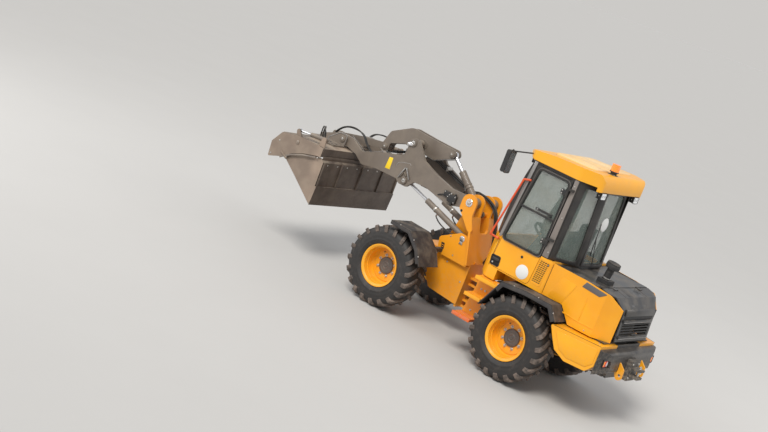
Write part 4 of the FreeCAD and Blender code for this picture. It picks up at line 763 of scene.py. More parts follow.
def roof_top():
    """The roof's raised middle panel, its ribs and the beacon foot."""
    roof = Piece("roof_panel", "rear_frame", ROOF_DUSTY, BLACK_PLASTIC, ZINC)
    panel = softened([(-0.52, -0.5), (-1.13, -0.52), (-1.13, 0.52), (-0.52, 0.5)], 0.09, 5)
    tilt = Matrix.Translation((-0.82, 0, 2.792)) @ Matrix.Rotation(math.radians(1.6), 4, "Y")
    tilt = tilt @ Matrix.Translation((0.82, 0, 0))
    roof.plate(panel, -0.012, 0.03, "top", 0, 0.012, tilt)
    for y in (-0.3, 0.0, 0.3):
        roof.box((-1.06, y - 0.05, 0.024), (-0.59, y + 0.05, 0.036), 0, 0.006, tilt)
    roof.box((-1.25, 0.13, 2.806), (-1.15, 0.235, 2.818), 1, 0.003)
    for x, y in ((-1.24, 0.142), (-1.16, 0.142), (-1.24, 0.222), (-1.16, 0.222)):
        roof.bolt((x, y, 2.817), 0.005, 2, (0, 0, 1))
    roof.done()


def beacon():
    """Rings on the beacon's foot and a ribbed dome."""
    lamp = Piece("beacon_rings", "rear_frame", BLACK_PLASTIC, AMBER_LENS)
    middle = (-1.205, 0.18, 2.812)
    lamp.lathe([(0.0, 0.052), (0.006, 0.052), (0.01, 0.04), (0.03, 0.04), (0.034, 0.056),
                (0.046, 0.0575), (0.05, 0.054)], middle, 0, "Z", 32)
    lamp.lathe([(0.048, 0.0548), (0.06, 0.0552), (0.062, 0.0535)], middle, 1, "Z", 32)
    lamp.lathe([(0.128, 0.0542), (0.1375, 0.05), (0.1378, 0.0)], middle, 1, "Z", 32)
    lamp.done()


def work_lamps():
    """Lens, reflector bowl and cooling ribs of each work lamp, with its bracket."""
    lamps = Piece("work_lamp_dressing", "rear_frame", BLACK_PLASTIC, CLEAR_LENS, CHROME, ZINC)
    for x, y, top, out in ((-0.325, 0.48, 2.6618, 1), (-1.297, 0.45, 2.5997, -1)):
        middle = top - 0.04
        front = x + out * 0.034
        rim = softened([(y - 0.058, middle - 0.038), (y + 0.058, middle - 0.038),
                        (y + 0.058, middle + 0.038), (y - 0.058, middle + 0.038)], 0.014)
        inner = grown(rim, -0.008)
        low, high = sorted((front - out * 0.004, front + out * 0.003))
        lamps.ring(rim, inner, low, high, "front", 0, 0.001)
        low, high = sorted((front - out * 0.002, front + out * 0.0008))
        lamps.plate(inner, low, high, "front", 1, 0.0)
        for side in (-0.026, 0.026):
            place = Vector((front, y + side, middle))
            lamps.rod(place - Vector((out * 0.001, 0, 0)), place + Vector((out * 0.0016, 0, 0)), 0.02, 2,
                      0.0005, 24)
        for fin in range(5):
            u = x - out * (0.01 + fin * 0.006)
            lamps.box((u - 0.0012, y - 0.057, middle - 0.0415), (u + 0.0012, y + 0.057, middle + 0.0395),
                      0, 0.0005)
        lamps.bolt((x, y + 0.06, middle), 0.006, 3)
        lamps.bolt((x, y - 0.06, middle), 0.006, 3, (0, -1, 0))
    lamps.done(both=True)


def mirrors():
    """Silvered faces, rims and clamps of the two mirrors."""
    glass = Piece("mirror_faces", "rear_frame", CHROME, BLACK_PLASTIC)
    rim = softened([(0.804, 2.374), (0.926, 2.374), (0.926, 2.656), (0.804, 2.656)], 0.02)
    glass.ring(rim, grown(rim, -0.009), -0.1945, -0.188, "front", 1, 0.001)
    glass.plate(grown(rim, -0.008), -0.1915, -0.188, "front", 0, 0.0)
    glass.box((-0.132, 0.84, 2.5), (-0.122, 0.89, 2.56), 1, 0.004)
    glass.rod((-0.175, 0.857, 2.655), (-0.162, 0.862, 2.668), 0.014, 1, 0.003)
    glass.done(both=True)


def rear_glass():
    """The rear pane's black border, its wiper and the blank disc on it."""
    lean = Matrix(((-1, 0, 0.04717, -1.3974), (0, 1, 0, 0), (0, 0, 1, 0), (0, 0, 0, 1)))
    pane = Piece("rear_glass_border", "rear_frame", PILLAR_BLACK, SEAL_RUBBER, WHITE_PAINT, BLACK_PLASTIC,
                 turn=lean)
    hole = softened(REAR_HOLE, 0.04)
    pane.ring(softened(REAR_RING, 0.03), hole, -0.004, 0.003, "front", 0, 0.002)
    pane.ring(hole, grown(hole, -0.01), -0.016, 0.002, "front", 1, 0.002)
    pane.rod((-0.015, 0.01, 2.185), (-0.0125, 0.01, 2.185), 0.088, 2, 0.0005, 40)
    pane.box((-0.004, -0.03, 1.64), (0.004, 0.03, 1.68), 3, 0.002)
    pane.rod((0.004, 0.0, 1.665), (0.007, 0.15, 2.02), 0.005, 3, 0.001)
    pane.rod((0.009, 0.15, 1.78), (0.009, 0.15, 2.2), 0.006, 3, 0.001)
    pane.done()


# Engine cover and rear

TO_COVER = Matrix(((1, 0, 0, 0), (0.06236, 1, 0, 0.77923), (0, 0, 1, 0), (0, 0, 0, 1)))
LID_SLOPE = [(-1.86, 1.6005), (-2.036, 1.5615), (-2.15, 1.427)]


def engine_cover():
    """The fuel door, the blank badge, panel seams and creases of the engine cover's sides."""
    cover = Piece("cover_details", "rear_frame", YELLOW, SHADOW, BADGE_GREY, ZINC, turn=TO_COVER)
    flap = softened([(-1.372, 1.507), (-1.569, 1.493), (-1.462, 1.207), (-1.258, 1.229)], 0.02)
    cover.ring(grown(flap, 0.003), grown(flap, -0.003), -0.002, 0.0006, look=1, edge=0)
    cover.plate(grown(flap, -0.003), -0.002, 0.0035, look=0, edge=0.0025)
    badge = softened([(-1.668, 1.588), (-1.968, 1.56), (-1.882, 1.494), (-1.63, 1.514)], 0.008)
    cover.plate(badge, -0.002, 0.004, look=2, edge=0.0015)
    for line in ([(-1.196, 1.6), (-1.186, 1.215)], [(-1.2, 1.15), (-1.2, 1.02)]):
        cover.plate(ribbon(line, 0.005), -0.002, 0.0008, look=1, edge=0)
    swage = [(-1.3, 1.15), (-1.76, 1.115), (-1.955, 1.12)]
    cover.plate(ribbon(swage, 0.016), -0.003, 0.004, look=0, edge=0.003)
    crease = [(-1.745, 1.425), (-1.758, 1.4), (-1.758, 1.125)]
    cover.plate(ribbon(crease, 0.014), -0.003, 0.0035, look=0, edge=0.003)
    cover.stud(-1.3, 1.18, -0.002, 0.004, 0.012, 3, 0.001)
    for x in (-1.24, -1.5, -1.86):
        cover.bolt((x, 0.0, 1.045), 0.007, 3)
    cover.done(both=True)


def lid():
    """Seams, the raised middle, handle, brow and silvered bars of the rear lid."""
    lid_piece = Piece("lid_dressing", "lid", DARK_PAINT, SHADOW, STEEL_GREY, BLACK_PLASTIC)
    for y in (-0.3, 0.3):
        lid_piece.plate(ribbon(LID_SLOPE[:2], 0.004), y - 0.003, y + 0.003, "side", 1, 0)
    low, high = Vector(LID_SLOPE[0]), Vector(LID_SLOPE[1])
    spine = [tuple(low.lerp(high, 0.05)), tuple(low.lerp(high, 0.98)), (-2.118, 1.468)]
    lid_piece.plate(ribbon(spine, 0.012), -0.2, 0.2, "side", 0, 0.005)
    brow = [(-2.14, 1.452), (-2.152, 1.425), (-2.158, 1.372), (-2.176, 1.372), (-2.171, 1.43),
            (-2.156, 1.462)]
    lid_piece.plate(brow, -0.4, 0.4, "side", 0, 0.006)
    for z, lean in ((1.306, -2.16), (1.1, -2.1728)):
        bar = [(lean + 0.002, z - 0.02), (lean - 0.022, z - 0.017), (lean - 0.024, z + 0.013),
               (lean, z + 0.02)]
        lid_piece.plate(bar, -0.396, 0.396, "side", 0, 0.005)
        trim = [(lean - 0.02, z - 0.02), (lean - 0.0265, z - 0.017), (lean - 0.0265, z - 0.01),
                (lean - 0.02, z - 0.01)]
        lid_piece.plate(trim, -0.392, 0.392, "side", 2, 0.002)
    lid_piece.box((-2.196, -0.06, 1.12), (-2.176, 0.06, 1.146), 3, 0.005)
    lid_piece.done()


def counterweight():
    """The raised faces of the counterweight, bevelled all round, and its bolts."""
    weight = Piece("counterweight_faces", "rear_frame", YELLOW, ZINC, SHADOW)
    to_face = Matrix(((1, 0, 0, 0), (0.27193, 1, 0, 1.34053), (0, 0, 1, 0), (0, 0, 0, 1)))
    face = softened([(-1.638, 0.95), (-2.168, 0.95), (-2.168, 0.762), (-2.1, 0.694),
                     (-1.868, 0.694), (-1.748, 0.752)], 0.02)
    weight.plate(face, -0.004, 0.008, look=0, edge=0.006, turn=to_face)
    weight.plate(ribbon([(-1.6, 0.9955), (-2.186, 0.9955)], 0.003), -0.01, 0.0006, look=2, edge=0,
                 turn=to_face)
    for x in (-1.7, -2.1):
        weight.rod((x, 0.64, 0.9935), (x, 0.64, 1.0005), 0.016, 1, 0.002, 6)
    weight.done(both=True)


def rear_lights():
    """Lenses, bezels and screws of the rear lights, reflectors, and the hitch's pin."""
    lights = Piece("rear_lights_dressing", "rear_frame", BLACK_PLASTIC, RED_LENS, AMBER_LENS,
                   CLEAR_LENS, ZINC)
    outer = softened([(0.563, 0.763), (0.687, 0.763), (0.687, 0.847), (0.563, 0.847)], 0.008)
    inner = grown(outer, -0.01)
    lights.ring(outer, inner, -2.272, -2.262, "front", 0, 0.002)
    for low, high, look in ((0.574, 0.608, 3), (0.61, 0.64, 1), (0.642, 0.676, 2)):
        lens = [(low, 0.774), (high, 0.774), (high, 0.836), (low, 0.836)]
        lights.plate(lens, -2.2705, -2.266, "front", look, 0.002)
    for y in (0.568, 0.682):
        lights.bolt((-2.271, y, 0.805), 0.003, 4, (-1, 0, 0))
    lights.done(both=True)
    hitch = Piece("hitch_pin", "rear_frame", ZINC)
    hitch.rod((-2.44, 0, 0.655), (-2.44, 0, 0.815), 0.016, 0, 0.003)
    hitch.rod((-2.44, 0, 0.789), (-2.44, 0, 0.797), 0.026, 0, 0.002)
    hitch.stud(-2.44, 0.818, -0.03, 0.03, 0.006, 0, 0.002)
    for y in (-0.08, 0.08):
        for z in (0.64, 0.82):
            hitch.bolt((-2.37, y, z), 0.011, 0, (-1, 0, 0))
    hitch.done()


def intake():
    """The intake's louvred cap, clamp and foot."""
    lean = Matrix.Translation((-1.725, 0.3, 1.81)) @ Matrix.Rotation(math.radians(-7.5), 4, "Y")
    pipe = Piece("intake_cap", "rear_frame", BLACK_PLASTIC, ZINC, turn=lean)
    pipe.lathe([(-0.012, 0.05), (0.0, 0.0865), (0.012, 0.0868), (0.04, 0.0868), (0.0605, 0.074),
                (0.0615, 0.0)], (0, 0, 0), 0, "Z", 32)
    for count in range(16):
        turn = math.tau * count / 16
        place = Vector((0.0868 * math.cos(turn), 0.0868 * math.sin(turn), 0.0))
        pipe.rod(place + Vector((0, 0, 0.004)), place + Vector((0, 0, 0.04)), 0.003, 0, 0.001, 8)
    pipe.lathe([(-0.15, 0.0462), (-0.15, 0.0495), (-0.136, 0.0495), (-0.136, 0.0462)], (0, 0, 0), 1,
               "Z", 32)
    pipe.lathe([(-0.075, 0.0462), (-0.072, 0.0485), (-0.06, 0.0485), (-0.057, 0.0462)], (0, 0, 0), 0,
               "Z", 32)
    pipe.done()


# Steps, rails and ladder

# The last column picks the finish: the lowest tread's orange is painted shade under the treads above.
TREADS = (((-0.64, 0.64, 1.04), (-0.3, 0.8), 0), ((-0.5, 0.64, 0.795), (-0.25, 0.83), 0),
          ((-0.48, 0.64, 0.505), (-0.2, 0.85), 1))


def steps():
    """Serrated strips along the treads, and their turned down front edges."""
    stairs = Piece("tread_strips", "rear_frame", YELLOW, ORANGE_PAINT_AND_TREAD_SHADE, ZINC)
    for (x0, y0, z), (x1, y1), look in TREADS:
        rows = 4
        for row in range(rows):
            y = y0 + (y1 - y0) * (row + 0.5) / rows
            stairs.box((x0 + 0.004, y - 0.003, z - 0.001), (x1 - 0.004, y + 0.003, z + 0.004), look, 0.001)
            count = int((x1 - x0) / 0.022)
            for tooth in range(count):
                x = x0 + 0.012 + tooth * (x1 - x0 - 0.02) / count
                side = [(x, z + 0.003), (x + 0.013, z + 0.003), (x + 0.0065, z + 0.011)]
                stairs.plate(side, y - 0.003, y + 0.003, "side", look, 0)
        stairs.box((x0, y1 - 0.002, z - 0.04), (x1, y1 + 0.005, z + 0.007), look, 0.002)
        stairs.box((x0 - 0.001, y0 + 0.01, z - 0.03), (x0 + 0.006, y1, z + 0.004), look, 0.001)
    for x, z in ((-0.42, 0.87), (-0.36, 0.87), (-0.42, 0.56), (-0.32, 0.56)):
        stairs.bolt((x, 0.642, z), 0.01, 2)
    stairs.done(both=True)


def rails():
    """Orange sleeves and clamp feet on the grab rails."""
    line = [(-0.3445, 0.6905, 1.5603), (-0.24, 0.745, 1.58), (-0.395, 0.745, 2.38)]
    rail = Piece("rail_feet", "rear_frame", ORANGE_PAINT_AND_TREAD_SHADE)
    start, bend, top = (Vector(p) for p in line)
    rail.rod(start.lerp(bend, 0.06), start.lerp(bend, 0.28), 0.021, 0, 0.004)
    rail.rod(bend.lerp(top, 0.02), bend.lerp(top, 0.035), 0.0165, 0, 0.002)
    rail.rod(bend.lerp(top, 0.965), bend.lerp(top, 0.98), 0.0165, 0, 0.002)
    rail.done(both=True)


# Tower and lift arms

def tower():
    """Pin rings, keepers, the slots and bolts of the tower, and its hose clamp bar; a hole and the slot are
    drawn in painted shadow.
    """
    trim = Piece("tower_details", "front_frame", CHROME, SHADOW, ZINC, FRAME_YELLOW)
    trim.lathe([(0.0, 0.031), (0.0, 0.052), (0.007, 0.052), (0.01, 0.048), (0.01, 0.031)],
               (0.455, 0.3275, 1.715), 0, steps=32, closed=True)
    trim.stud(0.455, 1.715, 0.33, 0.3425, 0.0285, 2, 0.002)
    trim.plate([(0.462, 1.7), (0.472, 1.708), (0.43, 1.745), (0.42, 1.737)], 0.34, 0.346, "side", 0,
               0.001)
    # A near-black disc of painted shadow stands for a hole in the tower's side.
    trim.stud(0.524, 1.578, 0.327, 0.3288, 0.018, 1, 0)
    trim.stud(0.38, 1.237, 0.276, 0.288, 0.04, 0, 0.003)
    trim.stud(0.38, 1.237, 0.287, 0.292, 0.024, 2, 0.002)
    trim.plate([(0.352, 1.16), (0.408, 1.16), (0.4, 1.205), (0.36, 1.205)], 0.276, 0.286, "side", 2,
               0.002)
    slot = softened([(0.662, 1.074), (0.608, 1.077), (0.593, 0.997), (0.644, 0.998)], 0.008)
    # The slot is a near-black plate of painted shadow.
    trim.plate(slot, 0.276, 0.2778, "side", 1, 0)
    for z in (1.02, 1.045):
        trim.box((0.604, 0.2765, z - 0.003), (0.652, 0.281, z + 0.003), 3, 0.001)
    for x, z in ((0.23, 1.04), (0.56, 1.2), (0.43, 0.98)):
        trim.bolt((x, 0.2768, z), 0.008, 2)
    for x, z in ((0.21, 0.7), (0.5, 0.86), (0.7, 0.9)):
        trim.bolt((x, 0.2245, z), 0.009, 2)
    trim.done(both=True)


def arm_details():
    """Bosses, keepers, lug ribs, weld beads and the blank plate on the lift arms."""
    trim = Piece("arm_details", "lift_arm", ARM_BROWN, CHROME, ZINC, SHADOW, STEEL_GREY)
    for x, z, y, radius in ((1.621, 2.088, 0.3, 0.036), (2.734, 1.701, 0.296, 0.044),
                            (1.556, 1.569, 0.304, 0.036)):
        trim.lathe([(-0.001, radius + 0.012), (0.004, radius + 0.012), (0.006, radius + 0.008),
                    (0.006, radius), (-0.001, radius)], (x, y, z), 0, steps=32, closed=True)
        trim.stud(x, z, y - 0.002, y + 0.008, radius - 0.006, 2, 0.003)
        # A small near-black disc of painted shadow stands for the hole in each pin's end.
        trim.stud(x, z, y + 0.006, y + 0.012, 0.007, 3, 0.001, 10)
    keeper = [(1.702, 2.026), (1.702, 2.062), (1.65, 2.092), (1.63, 2.066), (1.61, 2.05)]
    trim.plate(keeper, 0.2985, 0.313, "side", 1, 0.003)
    trim.bolt((1.684, 0.3125, 2.048), 0.008, 2)
    apex = (1.583, 1.738)
    for line in ([apex, (1.652, 1.575)], [(1.486, 1.606), apex]):
        trim.plate(ribbon(line, 0.016), 0.288, 0.314, "side", 4, 0.003)
    trim.plate(ribbon([(1.596, 1.665), (1.624, 1.596)], 0.012), 0.288, 0.312, "side", 0, 0.003)
    trim.plate(ribbon([(1.545, 1.63), (1.592, 1.668)], 0.012), 0.288, 0.312, "side", 0, 0.003)
    bead = [(1.76, 1.692), (1.759, 1.735), (1.735, 1.762), (1.701, 1.779), (1.563, 1.816), (1.53, 1.8)]
    trim.plate(ribbon(bead, 0.006), 0.288, 0.2925, "side", 4, 0.001)
    seam = [(2.655, 1.79), (2.54, 1.745), (2.376, 1.668), (2.091, 1.782), (1.72, 1.89)]
    trim.plate(ribbon(seam, 0.005), 0.24, 0.246, "side", 4, 0.001)
    lip = [(2.74, 1.625), (2.8, 1.65), (2.806, 1.745), (2.745, 1.775)]
    trim.plate(ribbon(lip, 0.01), 0.288, 0.296, "side", 0, 0.002)
    trim.done(both=True)
    sticker = Piece("arm_sticker", "lift_arm", STICKER)
    sticker.plate([(1.911, 1.769), (1.848, 1.777), (1.842, 1.612), (1.926, 1.606)], 0.289, 0.2912, "side",
                  0, 0.0005)
    sticker.done()


def arm_valves():
    """The hose rupture valves outside the arms' rear ends."""
    block = Piece("arm_valves", "lift_arm", BLACK_PLASTIC, ZINC, HOSE)
    block.box((0.665, 0.2885, 1.6), (0.795, 0.333, 1.705), 0, 0.006)
    block.box((0.79, 0.2885, 1.64), (0.88, 0.318, 1.722), 0, 0.006)
    block.rod((0.73, 0.311, 1.6), (0.724, 0.311, 1.56), 0.019, 0, 0.003)
    block.rod((0.7, 0.311, 1.704), (0.698, 0.311, 1.732), 0.014, 0, 0.003)
    block.rod((0.765, 0.311, 1.704), (0.765, 0.311, 1.722), 0.016, 1, 0.003, 6)
    for x, z in ((0.682, 1.615), (0.778, 1.69), (0.682, 1.69), (0.806, 1.655), (0.864, 1.706)):
        block.bolt((x, 0.333 if x < 0.79 else 0.318, z), 0.006, 1)
    block.hose([(0.87, 0.303, 1.66), (0.93, 0.303, 1.64), (0.99, 0.28, 1.6), (1.02, 0.23, 1.6)],
               0.01, 2)
    block.done(both=True)


def hoses():
    """Hydraulic hoses: along the arms, over the pivot and to the lift cylinders."""
    runs = Piece("arm_hoses", "lift_arm", HOSE, ZINC)
    for row in range(4):
        y = -0.15 - 0.024 * row
        z = 0.018 * (row % 2)
        runs.hose([(0.78, y, 1.745 + z), (0.9, y, 1.77 + z), (1.1, y, 1.82 + z),
                   (1.4, y, 1.905 + z), (1.56, y, 1.95 + z), (1.75, y, 1.93 + z),
                   (2.05, y, 1.815 + z), (2.3, y, 1.725 + z)], 0.0105, 0)
    for x, z in ((0.88, 1.79), (1.25, 1.885), (1.98, 1.86)):
        runs.box((x - 0.014, -0.248, z - 0.024), (x + 0.014, -0.136, z + 0.04), 1, 0.004)
    runs.done()
    loops = Piece("pivot_hoses", None, HOSE)
    for row in range(4):
        y = -0.074 if row % 2 else -0.096
        reach = 0.026 * (row // 2)
        far = -0.15 - 0.024 * row
        loops.hose([(0.17 - reach, y, 0.99), (0.105 - reach, y, 1.12), (0.15 - reach, y, 1.33),
                    (0.215 - reach, y, 1.52), (0.29 - reach, y, 1.69 + reach),
                    (0.46, y, 1.78 + reach), (0.62, y, 1.79 + reach), (0.69, far, 1.77 + reach),
                    (0.79, far, 1.747 + 0.018 * (row % 2))], 0.009, 0)
    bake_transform(loops.done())
    feeds = Piece("lift_cylinder_hoses", "lift_barrels", HOSE, ZINC)
    along = Vector((0.962384, 0, 0.271693))
    out = Vector((-0.271693, 0, 0.962384))
    base = Vector((0.38, 0.2, 1.237))
    port = base + along * 0.56 - out * 0.036
    low = base + along * 0.11 - out * 0.036
    feeds.rod(port, port - out * 0.034, 0.012, 1, 0.002)
    feeds.rod(low, low - out * 0.02, 0.012, 1, 0.002)
    feeds.hose([port - out * 0.03, port - out * 0.06 - along * 0.05,
                port - out * 0.075 - along * 0.16, port - out * 0.07 - along * 0.3,
                low - out * 0.045 + along * 0.08, low - out * 0.016], 0.009, 0)
    for reach in (0.04, 0.6):
        place = base + along * reach
        feeds.rod(place, place + along * 0.028, 0.0445, 1, 0.003, 32)
    feeds.done(both=True)


def crank_details():
    """Pin heads and seams of the bell crank."""
    trim = Piece("crank_details", "bell_crank", ARM_BROWN, ZINC, STEEL_GREY)
    for x, z in ((2.2, 1.83), (1.125, 2.14)):
        trim.stud(x, z, 0.068, 0.09, 0.036, 0, 0.004)
        trim.stud(x, z, 0.088, 0.096, 0.014, 1, 0.002, 6)
    rim = [(1.12, 2.068), (1.378, 1.952), (1.62, 1.977), (1.88, 1.978)]
    trim.plate(ribbon(rim, 0.006), 0.068, 0.074, "side", 2, 0.001)
    trim.done(both=True)


def tilt_cylinder():
    """Gland, port blocks and the ribbed hose guard of the tilt cylinder."""
    trim = Piece("tilt_cylinder_trim", "tilt_barrel", ZINC, HOSE, ARM_BROWN)
    along = Vector((0.783031, 0, 0.621982))
    out = Vector((-0.621982, 0, 0.783031))
    base = Vector((0.42, 0, 1.58))
    for reach, radius in ((0.075, 0.056), (0.385, 0.056), (0.43, 0.0545)):
        place = base + along * reach
        trim.rod(place, place + along * 0.026, radius, 2, 0.003, 32)
    for reach in (0.12, 0.4):
        place = base + along * reach - out * 0.04
        trim.rod(place, place - out * 0.04, 0.016, 0, 0.002, 6)
    low = base + along * 0.12 - out * 0.076
    high = base + along * 0.4 - out * 0.076
    trim.hose([high, high - out * 0.03, high - out * 0.04 - along * 0.09,
               low - out * 0.04 + along * 0.09, low - out * 0.03, low], 0.01, 1)
    trim.done()


# Bucket

TIPPED = Matrix.Translation((2.734, 0, 1.701)) @ Matrix.Rotation(math.radians(90), 4, "Y")
FLOOR_RIBS = (-0.88, -0.48, 0.0, 0.48, 0.88)


def bucket():
    """The bucket's ribs, bolts, stop bars, hinge bosses and slots, drawn level and tipped."""
    # Stop bars, bosses and gussets take the paler paint of dust and painted light.
    shell = Piece("bucket_details", "bucket", BUCKET_DUST_AND_LIGHT, SHADOW, ZINC, BUCKET_EDGE, turn=TIPPED)
    half = 0.932
    for side in (1, -1):
        face = side * half
        pair = sorted((face - side * 0.002, face + side * 0.014))
        stop = [(0.438, 0.478), (0.414, 0.466), (0.474, 0.334), (0.496, 0.344)]
        shell.plate(stop, *pair, "side", 0, 0.003)
        pair = sorted((face - side * 0.002, face + side * 0.008))
        shell.stud(0.205, 0.245, pair[0], pair[1], 0.03, 0, 0.003)
        pair = sorted((face, face + side * 0.0135))
        shell.stud(0.205, 0.245, pair[0], pair[1], 0.018, 2, 0.003)
        for x, z in ((0.52, 0.64), (0.3, 0.56), (0.27, -0.16)):
            shell.bolt((x, face, z), 0.009, 2, (0, side, 0))
        rim = [(0.5, 0.47), (0.4, 0.3), (0.322, 0.1), (0.266, -0.13)]
        pair = sorted((face - side * 0.002, face + side * 0.006))
        shell.plate(ribbon(rim, 0.022), *pair, "side", 3, 0.002)
    lip = [(0.354, 0.6895), (0.346, 0.6895), (0.171, 0.5635), (0.18, 0.556)]
    shell.plate(lip, -0.905, 0.905, "side", 3, 0.003)
    for y in (-0.6, -0.2, 0.2, 0.6):
        gusset = [(0.115, 0.255), (0.108, 0.1), (0.112, 0.095), (0.135, 0.29)]
        shell.plate(gusset, y - 0.007, y + 0.007, "side", 0, 0.001)
    for y in (-0.52, -0.44, 0.44, 0.52):
        # The slots in the bucket's back are near-black plates of painted shadow.
        for z in (-0.005, 0.1, 0.205, 0.31):
            hole = softened([(y - 0.011, z - 0.022), (y + 0.011, z - 0.022), (y + 0.011, z + 0.022),
                             (y - 0.011, z + 0.022)], 0.008)
            shell.plate(hole, 0.0905, 0.0925, "front", 1, 0)
    shell.done()
    jaw = Piece("jaw_details", "jaw", BUCKET_BROWN, BUCKET_EDGE, ZINC, turn=TIPPED)
    for y in FLOOR_RIBS:
        rib = [(0.3, -0.266), (0.3, -0.2785), (0.33, -0.285), (0.64, -0.285), (0.64, -0.266)]
        jaw.plate(rib, y - 0.012, y + 0.012, "side", 0, 0.002)
    for y in (-0.68, -0.24, 0.24, 0.68):
        for step in (-0.11, 0.11):
            jaw.rod((0.335, y + step, -0.261), (0.335, y + step, -0.268), 0.01, 2, 0.002)
    flap = [(0.225, -0.2305), (0.225, -0.225), (0.275, -0.225), (0.275, -0.2305)]
    jaw.plate(flap, -0.9, 0.9, "side", 0, 0.001)
    worn = [(0.64, -0.2875), (0.64, -0.2835), (0.655, -0.2815), (0.655, -0.287)]
    jaw.plate(worn, -0.902, 0.902, "side", 1, 0.001)
    jaw.done()


def bucket_hoses():
    """Looped hoses from the arms over the carrier to the jaw cylinders."""
    loops = Piece("jaw_hoses", "bucket", HOSE, turn=TIPPED)
    for y in (0.6, 0.64):
        loops.hose([(0.108, 0.8 - (y - 0.6), -0.03), (-0.02, 0.8 - (y - 0.6), -0.04),
                    (-0.095, 0.76, 0.01), (-0.115, y + 0.05, 0.1), (-0.08, y - 0.05, 0.19),
                    (0.06, y - 0.1, 0.225), (0.096, y - 0.13, 0.23)], 0.009, 0)
    loops.done(both=True)
    cross = Piece("carrier_hoses", None, HOSE)
    for row in range(2):
        y = 0.185 - 0.028 * row
        cross.hose([(2.3, y - 0.03, 1.66), (2.42, y, 1.74), (2.52, y, 1.86),
                    (2.7, y, 1.9 - 0.02 * row), (2.88, y, 1.85), (3.0, y, 1.74),
                    (3.02, y, 1.65), (3.01, y, 1.608)], 0.0095, 0)
    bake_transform(cross.done())


def coupler():
    """Pin heads, seams and wear plates of the tool carrier."""
    trim = Piece("carrier_details", "bucket", ARM_BROWN, ZINC, STEEL_GREY, turn=TIPPED)
    for side in (1, -1):
        low, high = span(side, 0.3265, 0.34)
        trim.stud(0, 0, low, high, 0.046, 0, 0.004)
        low, high = span(side, 0.338, 0.346)
        trim.stud(0, 0, low, high, 0.022, 1, 0.003, 6)
        low, high = span(side, 0.326, 0.331)
        edge = [(-0.066, -0.04), (-0.055, -0.056), (0.096, -0.052), (0.096, 0.24), (0.066, 0.24),
                (-0.05, 0.085), (-0.066, 0.04)]
        trim.ring(edge, grown(edge, -0.01), low, high, "side", 2, 0.001)
    trim.done()


# Driver's place

def driver_seat():
    """A suspension pedestal with a bellows, and stuffed seat, back and head cushions."""
    stand = Piece("seat_stand", "rear_frame", BLACK_PLASTIC, SEAL_RUBBER)
    stand.box((-1.045, -0.17, 1.1005), (-0.745, 0.17, 1.16), 0, 0.01)
    for step in range(5):
        z = 1.16 + step * 0.044
        wide = 0.155 if step % 2 else 0.17
        stand.box((-0.895 - wide * 0.85, -wide, z), (-0.895 + wide * 0.85, wide, z + 0.048), 1, 0.014)
    stand.box((-1.05, -0.2, 1.38), (-0.68, 0.2, 1.412), 0, 0.01)
    stand.plate([(-1.05, 1.4), (-1.01, 1.4), (-1.1, 2.06), (-1.14, 2.06)], -0.2, 0.2, "side",
                0, 0.012)
    for side in (-1, 1):
        low, high = span(side, 0.255, 0.305)
        stand.plate([(-1.06, 1.64), (-0.76, 1.66), (-0.76, 1.69), (-1.06, 1.69)], low, high,
                    "side", 1, 0.012)
        low, high = span(side, 0.2, 0.258)
        stand.plate([(-1.075, 1.64), (-1.035, 1.64), (-1.035, 1.685), (-1.075, 1.685)], low, high,
                    "side", 0, 0.006)
        stand.stud(-1.02, 1.45, side * 0.19, side * 0.235, 0.03, 0, 0.006)
    base = stand.done()
    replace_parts(base, "driver_seat")
    cushions = (
        ("seat_cushion", (-0.83, 0, 1.468), (0.46, 0.48, 0.115), 2.0),
        ("seat_bolster_left", (-0.83, 0.2, 1.496), (0.42, 0.095, 0.105), 2.0),
        ("seat_bolster_right", (-0.83, -0.2, 1.496), (0.42, 0.095, 0.105), 2.0),
        ("back_cushion", (-1.022, 0, 1.74), (0.115, 0.44, 0.48), -7.5),
        ("back_bolster_left", (-0.995, 0.19, 1.74), (0.11, 0.085, 0.44), -7.5),
        ("back_bolster_right", (-0.995, -0.19, 1.74), (0.11, 0.085, 0.44), -7.5),
        ("head_cushion", (-1.075, 0, 2.03), (0.085, 0.24, 0.13), -7.5),
    )
    for name, centre, size, lean in cushions:
        cushion = Piece(name, "rear_frame", SEAT_CLOTH)
        part = bmesh.new()
        bmesh.ops.create_cube(part, size=1)
        bmesh.ops.subdivide_edges(part, edges=part.edges[:], cuts=7, use_grid_fill=True)
        for vert in part.verts:
            soft = vert.co.normalized() * 0.62
            vert.co = vert.co.lerp(soft, 0.3)
        turn = Matrix.Translation(centre) @ Matrix.Rotation(math.radians(lean), 4, "Y")
        cushion.add(part, 0, 0.0, turn @ Matrix.Diagonal((*size, 1)))
        soft_piece = cushion.done(sharp=80)
        smooth = soft_piece.modifiers.new("smooth", "SUBSURF")
        smooth.levels = 1
        smooth.render_levels = 1


# Camera, light and floor

def camera():
    """The photograph's view: the machine stands level and the camera is rolled."""
    data = bpy.data.cameras.new("camera")
    data.sensor_width = 36
    data.lens = 61.91
    eye = bpy.data.objects.new("camera", data)
    right = Vector((-0.73284499, -0.58418468, 0.34880723))
    up = Vector((0.40251591, 0.04108153, 0.91449071))
    view = Vector((0.54856099, -0.81058039, -0.20503723))
    turn = Matrix((right, up, -view)).transposed().to_4x4()
    eye.matrix_world = Matrix.Translation(at(-8.18635797, 14.83055915, 4.68191809)) @ turn
    bpy.context.scene.collection.objects.link(eye)
    bpy.context.scene.camera = eye


def lamp(name, place, target, size, power, colour=(1, 1, 1)):
    data = bpy.data.lights.new(name, "AREA")
    data.size = size
    data.energy = power
    data.color = colour
    light = bpy.data.objects.new(name, data)
    light.location = place
    light.rotation_euler = (Vector(target) - Vector(place)).to_track_quat("-Z", "Y").to_euler()
    bpy.context.scene.collection.objects.link(light)


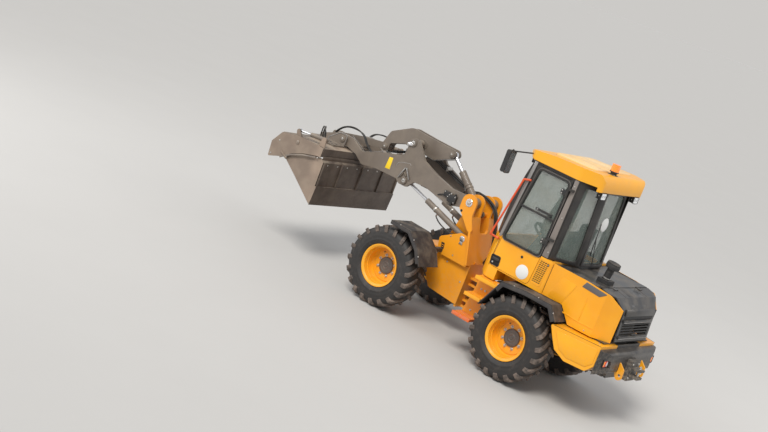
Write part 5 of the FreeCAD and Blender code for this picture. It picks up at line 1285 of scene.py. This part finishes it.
def studio():
    """A plain pale floor under soft light from high on the camera's side."""
    world = bpy.data.worlds.new("studio")
    world.use_nodes = True
    tree = world.node_tree
    back = tree.nodes["Background"]
    back.inputs["Color"].default_value = (0.9, 0.92, 0.95, 1)
    back.inputs["Strength"].default_value = 0.62
    seen = tree.nodes.new("ShaderNodeBackground")
    seen.inputs["Color"].default_value = (0.604, 0.591, 0.571, 1)
    path = tree.nodes.new("ShaderNodeLightPath")
    both = tree.nodes.new("ShaderNodeMixShader")
    tree.links.new(path.outputs["Is Camera Ray"], both.inputs[0])
    tree.links.new(back.outputs[0], both.inputs[1])
    tree.links.new(seen.outputs[0], both.inputs[2])
    tree.links.new(both.outputs[0], tree.nodes["World Output"].inputs["Surface"])
    bpy.context.scene.world = world
    sun = bpy.data.lights.new("key_light", "SUN")
    sun.energy = 2.45
    sun.angle = math.radians(24)
    sun.color = (1.0, 0.97, 0.92)
    key = bpy.data.objects.new("key_light", sun)
    key.rotation_euler = Vector((0.1, -0.62, -0.78)).to_track_quat("-Z", "Y").to_euler()
    bpy.context.scene.collection.objects.link(key)
    target = (0, 0, 1.2)
    lamp("front_light", (9.0, 6.0, 6.0), target, 7.0, 300)
    lamp("back_light", (-9.0, -5.0, 7.0), target, 7.0, 260)
    s = Shader("floor_paint")
    s.look(Base_Color=s.mix(s.noise(0.8), (0.5, 0.49, 0.475, 1), (0.52, 0.51, 0.495, 1)))
    s.look(Roughness=s.ramp(s.noise(2.0), 0, 1, 0.8, 0.95))
    bm = bmesh.new()
    bmesh.ops.create_grid(bm, x_segments=1, y_segments=1, size=900)
    mesh = bpy.data.meshes.new("floor")
    bm.to_mesh(mesh)
    mesh.materials.append(s.material)
    floor = bpy.data.objects.new("floor", mesh)
    bpy.context.scene.collection.objects.link(floor)


bpy.context.scene.view_settings.view_transform = "Standard"
camera()
studio()
dress_nodes()
tyres()
wheel_trim()
fender_lips()
door()
cab_pillars()
cab_panel()
roof_top()
beacon()
work_lamps()
mirrors()
rear_glass()
engine_cover()
lid()
counterweight()
rear_lights()
intake()
steps()
rails()
tower()
arm_details()
arm_valves()
hoses()
crank_details()
tilt_cylinder()
bucket()
bucket_hoses()
coupler()
driver_seat()
